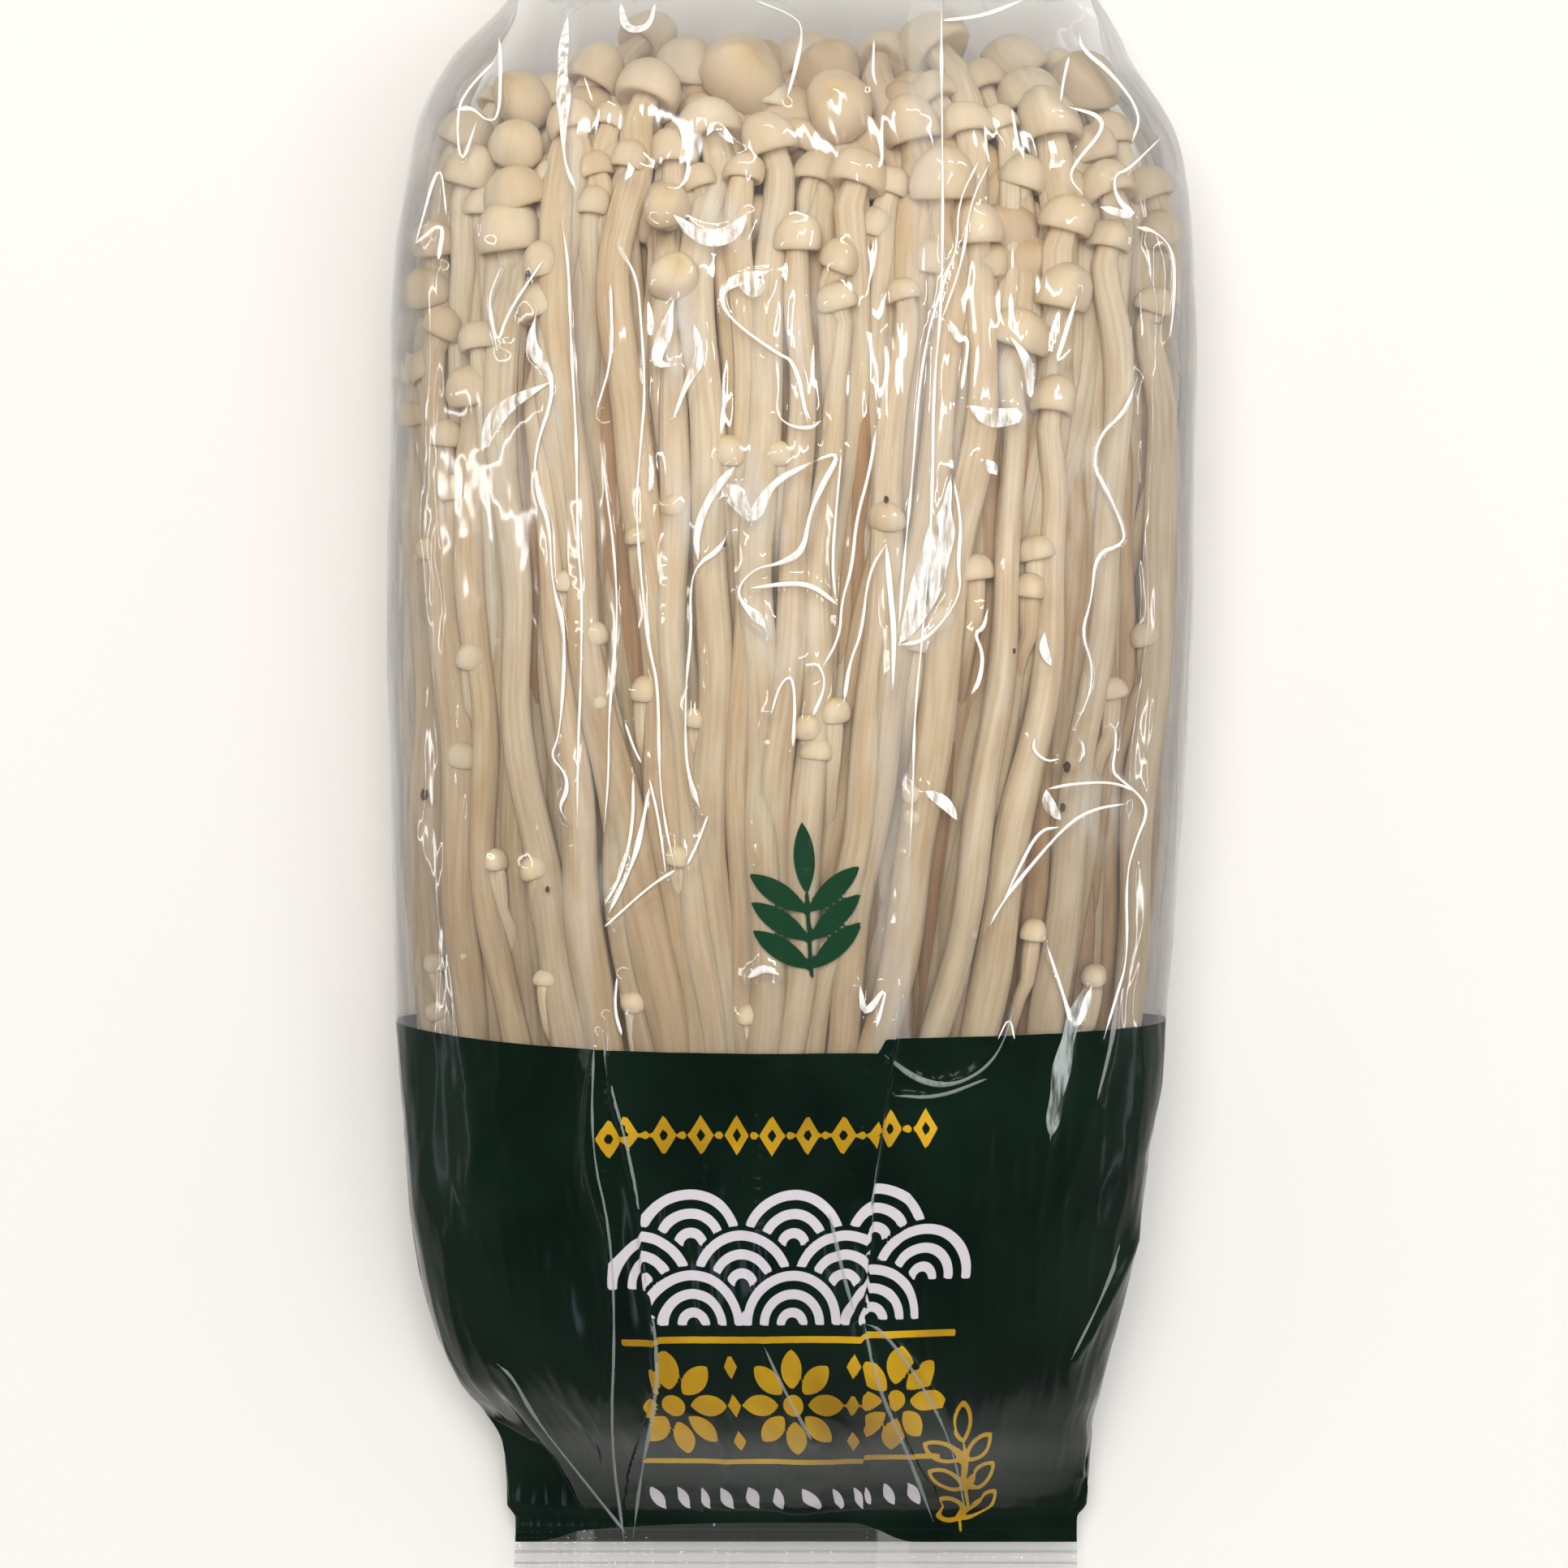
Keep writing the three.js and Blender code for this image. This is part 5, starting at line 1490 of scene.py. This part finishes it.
# %% [markdown]
# ### Sawdust
#
# The crumbs are sawn wood, soaked and half rotted: dark brown, rough and dull, with chips a quarter of a
# millimetre long. Dull is what tells them from the glossy film above them.

# %% Material: sawdust, coarse, damp and dark
CHIP_SCALE = 4.0  # chips 0.25 mm long
SAWDUST_ROUGHNESS = 0.75

sawdust, tree = new_material("sawdust_damp")
grain = add(tree, "ShaderNodeAttribute", {"attribute_name": "grain"}).outputs["Vector"]
chips = add(tree, "ShaderNodeTexNoise", {}, {
    "Vector": grain, "Scale": CHIP_SCALE, "Detail": 3.0}).outputs["Fac"]
chip_colour = add(tree, "ShaderNodeValToRGB", {}, {"Fac": chips}, [(0.35, "#2e1f15"), (0.65, "#5f4530")])
chip_bump = add(tree, "ShaderNodeBump", {}, {"Height": chips, "Strength": 0.8, "Distance": 0.0002})
put_on([crumb_piece], sawdust, add(tree, "ShaderNodeBsdfPrincipled", {}, {
    "Base Color": chip_colour, "Roughness": SAWDUST_ROUGHNESS, "Normal": chip_bump}))

# %% [markdown]
# ### Clear film
#
# The bag is biaxially stretched polypropylene, BOPP, the crackly film of crisp packets: crystal clear,
# hard and very glossy. A sheet this thin bends no light, so glass shaders are wrong for it: they would
# treat it as a solid block. It is mostly a Transparent shader, with a Glossy one over it by Fresnel. Both
# faces of the film reflect, so the share is about twice that of one face, which an IOR of 1.75 gives. A
# trace of white haze stands for the anti-mist coating.

# %% Material: clear BOPP film, stretched and glossy
BOTH_FACES_IOR = 1.75
# Seen edge on, the film still lets most light past: its many small crinkles never lie flat to the eye.
MOST_GLOSS = 0.7
FILM_ROUGHNESS, INK_ROUGHNESS = 0.07, 0.16
HAZE, MOST_HAZE = 0.035, 0.4
CRINKLE_HEIGHT = 0.0004


def crinkle_bump(tree, lay, scale, strength):
    """Fine crinkles that run with the mushrooms, as film gets when it is packed tight."""
    place = add(tree, "ShaderNodeMapping", {}, {"Vector": lay, "Scale": scale})
    crinkle = add(tree, "ShaderNodeTexNoise", {"noise_type": "RIDGED_MULTIFRACTAL"}, {
        "Vector": place, "Scale": 1.0, "Detail": 3.0, "Roughness": 0.4})
    return add(tree, "ShaderNodeBump", {}, {
        "Height": crinkle.outputs["Fac"], "Strength": strength, "Distance": CRINKLE_HEIGHT})


clear, tree = new_material("bopp_film_clear")
lay = add(tree, "ShaderNodeAttribute", {"attribute_name": "lay"}).outputs["Vector"]
leaf_gap, veil_and_sheen_here = (add(tree, "ShaderNodeAttribute", {"attribute_name": name}).outputs["Fac"]
                       for name in ("leaf", "veil_and_sheen"))
film_bump = crinkle_bump(tree, lay, (0.7, 0.16, 1.0), 0.27)  # 1.4 mm apart and 6 mm long
fresnel = add(tree, "ShaderNodeFresnel", {}, {"IOR": BOTH_FACES_IOR, "Normal": film_bump})
gloss_share = add(tree, "ShaderNodeMath", {"operation": "MINIMUM"}, {0: fresnel, 1: MOST_GLOSS})
see_through = add(tree, "ShaderNodeBsdfTransparent", {}, {"Color": WHITE})
haze = add(tree, "ShaderNodeBsdfDiffuse", {}, {"Color": linear("#f4f4f2")})
# A high veil makes the haze whiter: doubled film, scuffs and painted sheen.
haze_share = add(tree, "ShaderNodeMapRange", {}, {"Value": veil_and_sheen_here, "To Min": HAZE, "To Max": MOST_HAZE})
veiled = add(tree, "ShaderNodeMixShader", {}, {"Fac": haze_share, 1: see_through, 2: haze})
mirror = add(tree, "ShaderNodeBsdfGlossy", {}, {
    "Color": WHITE, "Roughness": FILM_ROUGHNESS, "Normal": film_bump})
film_surface = add(tree, "ShaderNodeMixShader", {}, {"Fac": gloss_share, 1: veiled, 2: mirror})
ink = add(tree, "ShaderNodeBsdfPrincipled", {}, {
    "Base Color": linear("#173a25"), "Roughness": INK_ROUGHNESS, "Normal": film_bump})
inked = add(tree, "ShaderNodeValToRGB", {}, {"Fac": leaf_gap}, [(0.0, WHITE), (0.08, BLACK)])
put_on(window_pieces, clear, add(tree, "ShaderNodeMixShader", {}, {"Fac": inked, 1: film_surface, 2: ink}))

# %% [markdown]
# ### Creased film
#
# Where this film is pinched, its long molecules tear apart into tiny voids that scatter light, so a sharp
# crease is white from every side. Where a fold opens, the film is streaked white and see-through between.
# Over the dark print the same crease looks grey and weaker. The white also stands in for the glints along
# the folds: it is partly stress whitening and partly painted highlight. So it is a white gloss plastic
# whose opacity falls, and turns streaky, as the ribbon gets broader.

# %% Material: creased BOPP film, stress-whitened where it was pinched, and white as a painted highlight
BOPP_IOR, CREASE_ROUGHNESS = 1.5, 0.2
STREAK_SCALE = (1.3, 0.22, 1.3)  # streaks 0.8 mm apart and 4.5 mm long
# Name, colour, and opacity of a sharp and of an open crease. The colour is stress whitening and painted
# highlight.
CREASES_AND_GLINTS = {
    "film_pinches_window": ("bopp_film_crease_glint", "#fffdf8", 0.85, 0.95),
    "film_pinches_print": ("bopp_film_crease_glint_over_ink", "#b4bebb", 0.4, 0.75),
}
for piece in pinch_pieces:
    name, whitening_and_glint, sharp_alpha, open_alpha = CREASES_AND_GLINTS[piece.name]
    creased, tree = new_material(name)
    breadth = add(tree, "ShaderNodeAttribute", {"attribute_name": "breadth"}).outputs["Fac"]
    lay = add(tree, "ShaderNodeAttribute", {"attribute_name": "lay"}).outputs["Vector"]
    streak_place = add(tree, "ShaderNodeMapping", {}, {"Vector": lay, "Scale": STREAK_SCALE})
    streaks = add(tree, "ShaderNodeTexNoise", {}, {"Vector": streak_place, "Scale": 1.0, "Detail": 3.0})
    streak_alpha = add(tree, "ShaderNodeMapRange", {}, {
        "Value": streaks.outputs["Fac"], "From Min": 0.36, "From Max": 0.6, "To Min": 0.08,
        "To Max": open_alpha})
    opened = add(tree, "ShaderNodeMapRange", {}, {"Value": breadth, "From Min": 0.28, "From Max": 0.6})
    alpha = add(tree, "ShaderNodeMix", {"data_type": "FLOAT"}, {
        "Factor": opened, 2: sharp_alpha, 3: streak_alpha})
    # White as stress whitening and as a painted highlight along the folds.
    put_on([piece], creased, add(tree, "ShaderNodeBsdfPrincipled", {}, {
        "Base Color": linear(whitening_and_glint), "Roughness": CREASE_ROUGHNESS, "IOR": BOPP_IOR, "Alpha": alpha}))

# %% [markdown]
# ### Printed film
#
# The ink is gravure-printed on the inside of the film, so the eye sees it through a glossy skin: a dark
# green with slight clouds, where the ink lies thicker, under sharp reflections. Gold and white take over
# where the distance to their ornament is below 0. The base of the gold is a yellow ink, not metal, so it
# doesn't mirror.

# %% Material: printed BOPP film, gravure-printed on the inside
CLOUD_SCALE = 0.06  # clouds 17 mm wide
INK_EDGE = 0.06  # an edge of ink blurs over this many mm
INK_SPECULAR = 0.16  # ink drinks most of the light that the film's inner face would send back

printed, tree = new_material("bopp_film_printed")
lay = add(tree, "ShaderNodeAttribute", {"attribute_name": "lay"}).outputs["Vector"]
print_bump = crinkle_bump(tree, lay, (0.45, 0.14, 1.0), 0.3)  # 2.2 mm apart and 7 mm long
cloud = add(tree, "ShaderNodeTexNoise", {}, {
    "Vector": lay, "Scale": CLOUD_SCALE, "Detail": 3.0}).outputs["Fac"]
green = add(tree, "ShaderNodeValToRGB", {}, {"Fac": cloud}, [(0.3, "#08130e"), (0.7, "#0f2017")])
gold_ink = add(tree, "ShaderNodeValToRGB", {}, {"Fac": cloud}, [(0.35, "#94701a"), (0.65, "#c89d1e")])
colour = green
for name, paint in (("gold", gold_ink), ("white", linear("#c4bfc6"))):
    ink_gap = add(tree, "ShaderNodeAttribute", {"attribute_name": name}).outputs["Fac"]
    inked = add(tree, "ShaderNodeValToRGB", {}, {"Fac": ink_gap}, [(0.0, WHITE), (INK_EDGE, BLACK)])
    colour = add(tree, "ShaderNodeMix", {"data_type": "RGBA"}, {
        "Factor": inked, 6: colour, 7: paint}).outputs[2]
put_on(print_pieces, printed, add(tree, "ShaderNodeBsdfPrincipled", {}, {
    "Base Color": colour, "Roughness": INK_ROUGHNESS, "IOR": BOPP_IOR, "Specular IOR Level": INK_SPECULAR,
    "Normal": print_bump}))

# %% [markdown]
# ## Table and light
#
# A plain pale table, a soft even sky and a few small bright lamps. The sky shows the mushrooms, and the
# lamps are there for the film, which would be invisible without something bright to reflect. A studio does
# the same with flags and strips: some lamps only light the bag, and some only show in its gloss.

# %% Table and sky
TABLE_SIZE, TABLE_GAP = 3.0, 0.0004
WALLS, CEILING, FOOT_WALL = 0.6, 0.05, 0.45

bpy.ops.mesh.primitive_plane_add(size=TABLE_SIZE, location=(0, 0, -TABLE_GAP))
table = bpy.context.object
table.name = "table"
table_paint, tree = new_material("matt_paint_pale")
put_on([table], table_paint, add(tree, "ShaderNodeBsdfPrincipled", {}, {
    "Base Color": linear("#e6e4e1"), "Roughness": 0.8}))

world = bpy.data.worlds.new("studio")
world.use_nodes = True
tree = world.node_tree
direction = add(tree, "ShaderNodeTexCoord").outputs["Generated"]
toward = add(tree, "ShaderNodeSeparateXYZ", {}, {0: direction}).outputs
by_height = add(tree, "ShaderNodeValToRGB", {}, {"Fac": toward["Z"]}, [
    (0.0, (WALLS, WALLS, WALLS, 1)), (0.5, (WALLS, WALLS, WALLS, 1)), (0.75, (CEILING, CEILING, CEILING, 1))])
# The wall behind the foot is darker, so that the dark print keeps its depth.
by_length = add(tree, "ShaderNodeMapRange", {}, {
    "Value": toward["Y"], "From Min": -0.7, "From Max": 0.1, "To Min": FOOT_WALL, "To Max": 1.0})
sky = add(tree, "ShaderNodeVectorMath", {"operation": "SCALE"}, {0: by_height, "Scale": by_length})
tree.links.new(sky.outputs[0], tree.nodes["Background"].inputs["Color"])
bpy.context.scene.world = world
print("sky from", CEILING, "overhead to", WALLS, "at the walls")

# %% Lamps
# Name, place, size, brightness, colour, and whether it lights the bag and shines in it.
LAMPS = [
    ("softbox", (-0.1, 0.3, 1.2), (0.7, 0.7), 8.9, "#fffcf6", True, False),
    ("fill", (0.5, -0.2, 1.2), (0.8, 0.8), 3.0, "#fbfcff", True, False),
    ("strip_left", (-0.85, 0.1, 0.95), (0.035, 0.9), 9.5, "#ffffff", False, True),
    ("strip_right", (1.2, 0.0, 0.45), (1.2, 0.02), 16, "#f6f9ff", True, True),
    ("strip_left_low", (-1.2, 0.0, 0.45), (1.2, 0.02), 14, "#f6f9ff", True, True),
    ("strip_top", (0.15, 0.95, 0.85), (0.8, 0.05), 14, "#ffffff", False, True),
    ("strip_low", (-0.25, -0.75, 0.95), (0.05, 0.5), 8, "#dfe9ff", False, True),
    ("strip_near", (0.28, 0.3, 1.2), (0.07, 0.3), 16, "#ffffff", False, True),
]
AIM = mathutils.Vector((0, 0, 0.02))

for name, place, size, radiance, hue, lights, shines in LAMPS:
    light = bpy.data.lights.new(name, "AREA")
    light.shape = "RECTANGLE"
    light.size, light.size_y = size
    light.energy = radiance * math.pi * size[0] * size[1]
    light.color = linear(hue)[:3]
    holder = bpy.data.objects.new(name, light)
    holder.location = place
    holder.rotation_euler = (AIM - mathutils.Vector(place)).to_track_quat("-Z", "Y").to_euler()
    holder.visible_diffuse = lights
    holder.visible_glossy = shines
    bpy.context.scene.collection.objects.link(holder)
bpy.context.scene.view_settings.view_transform = "Standard"
print(len(LAMPS), "lamps")

# %% [markdown]
# ## Sizes
#
# The dressed part is built on the CAD part's knots, and the film's box in millimetres is printed where the
# film is placed. The dressed part has to keep the CAD part's size.
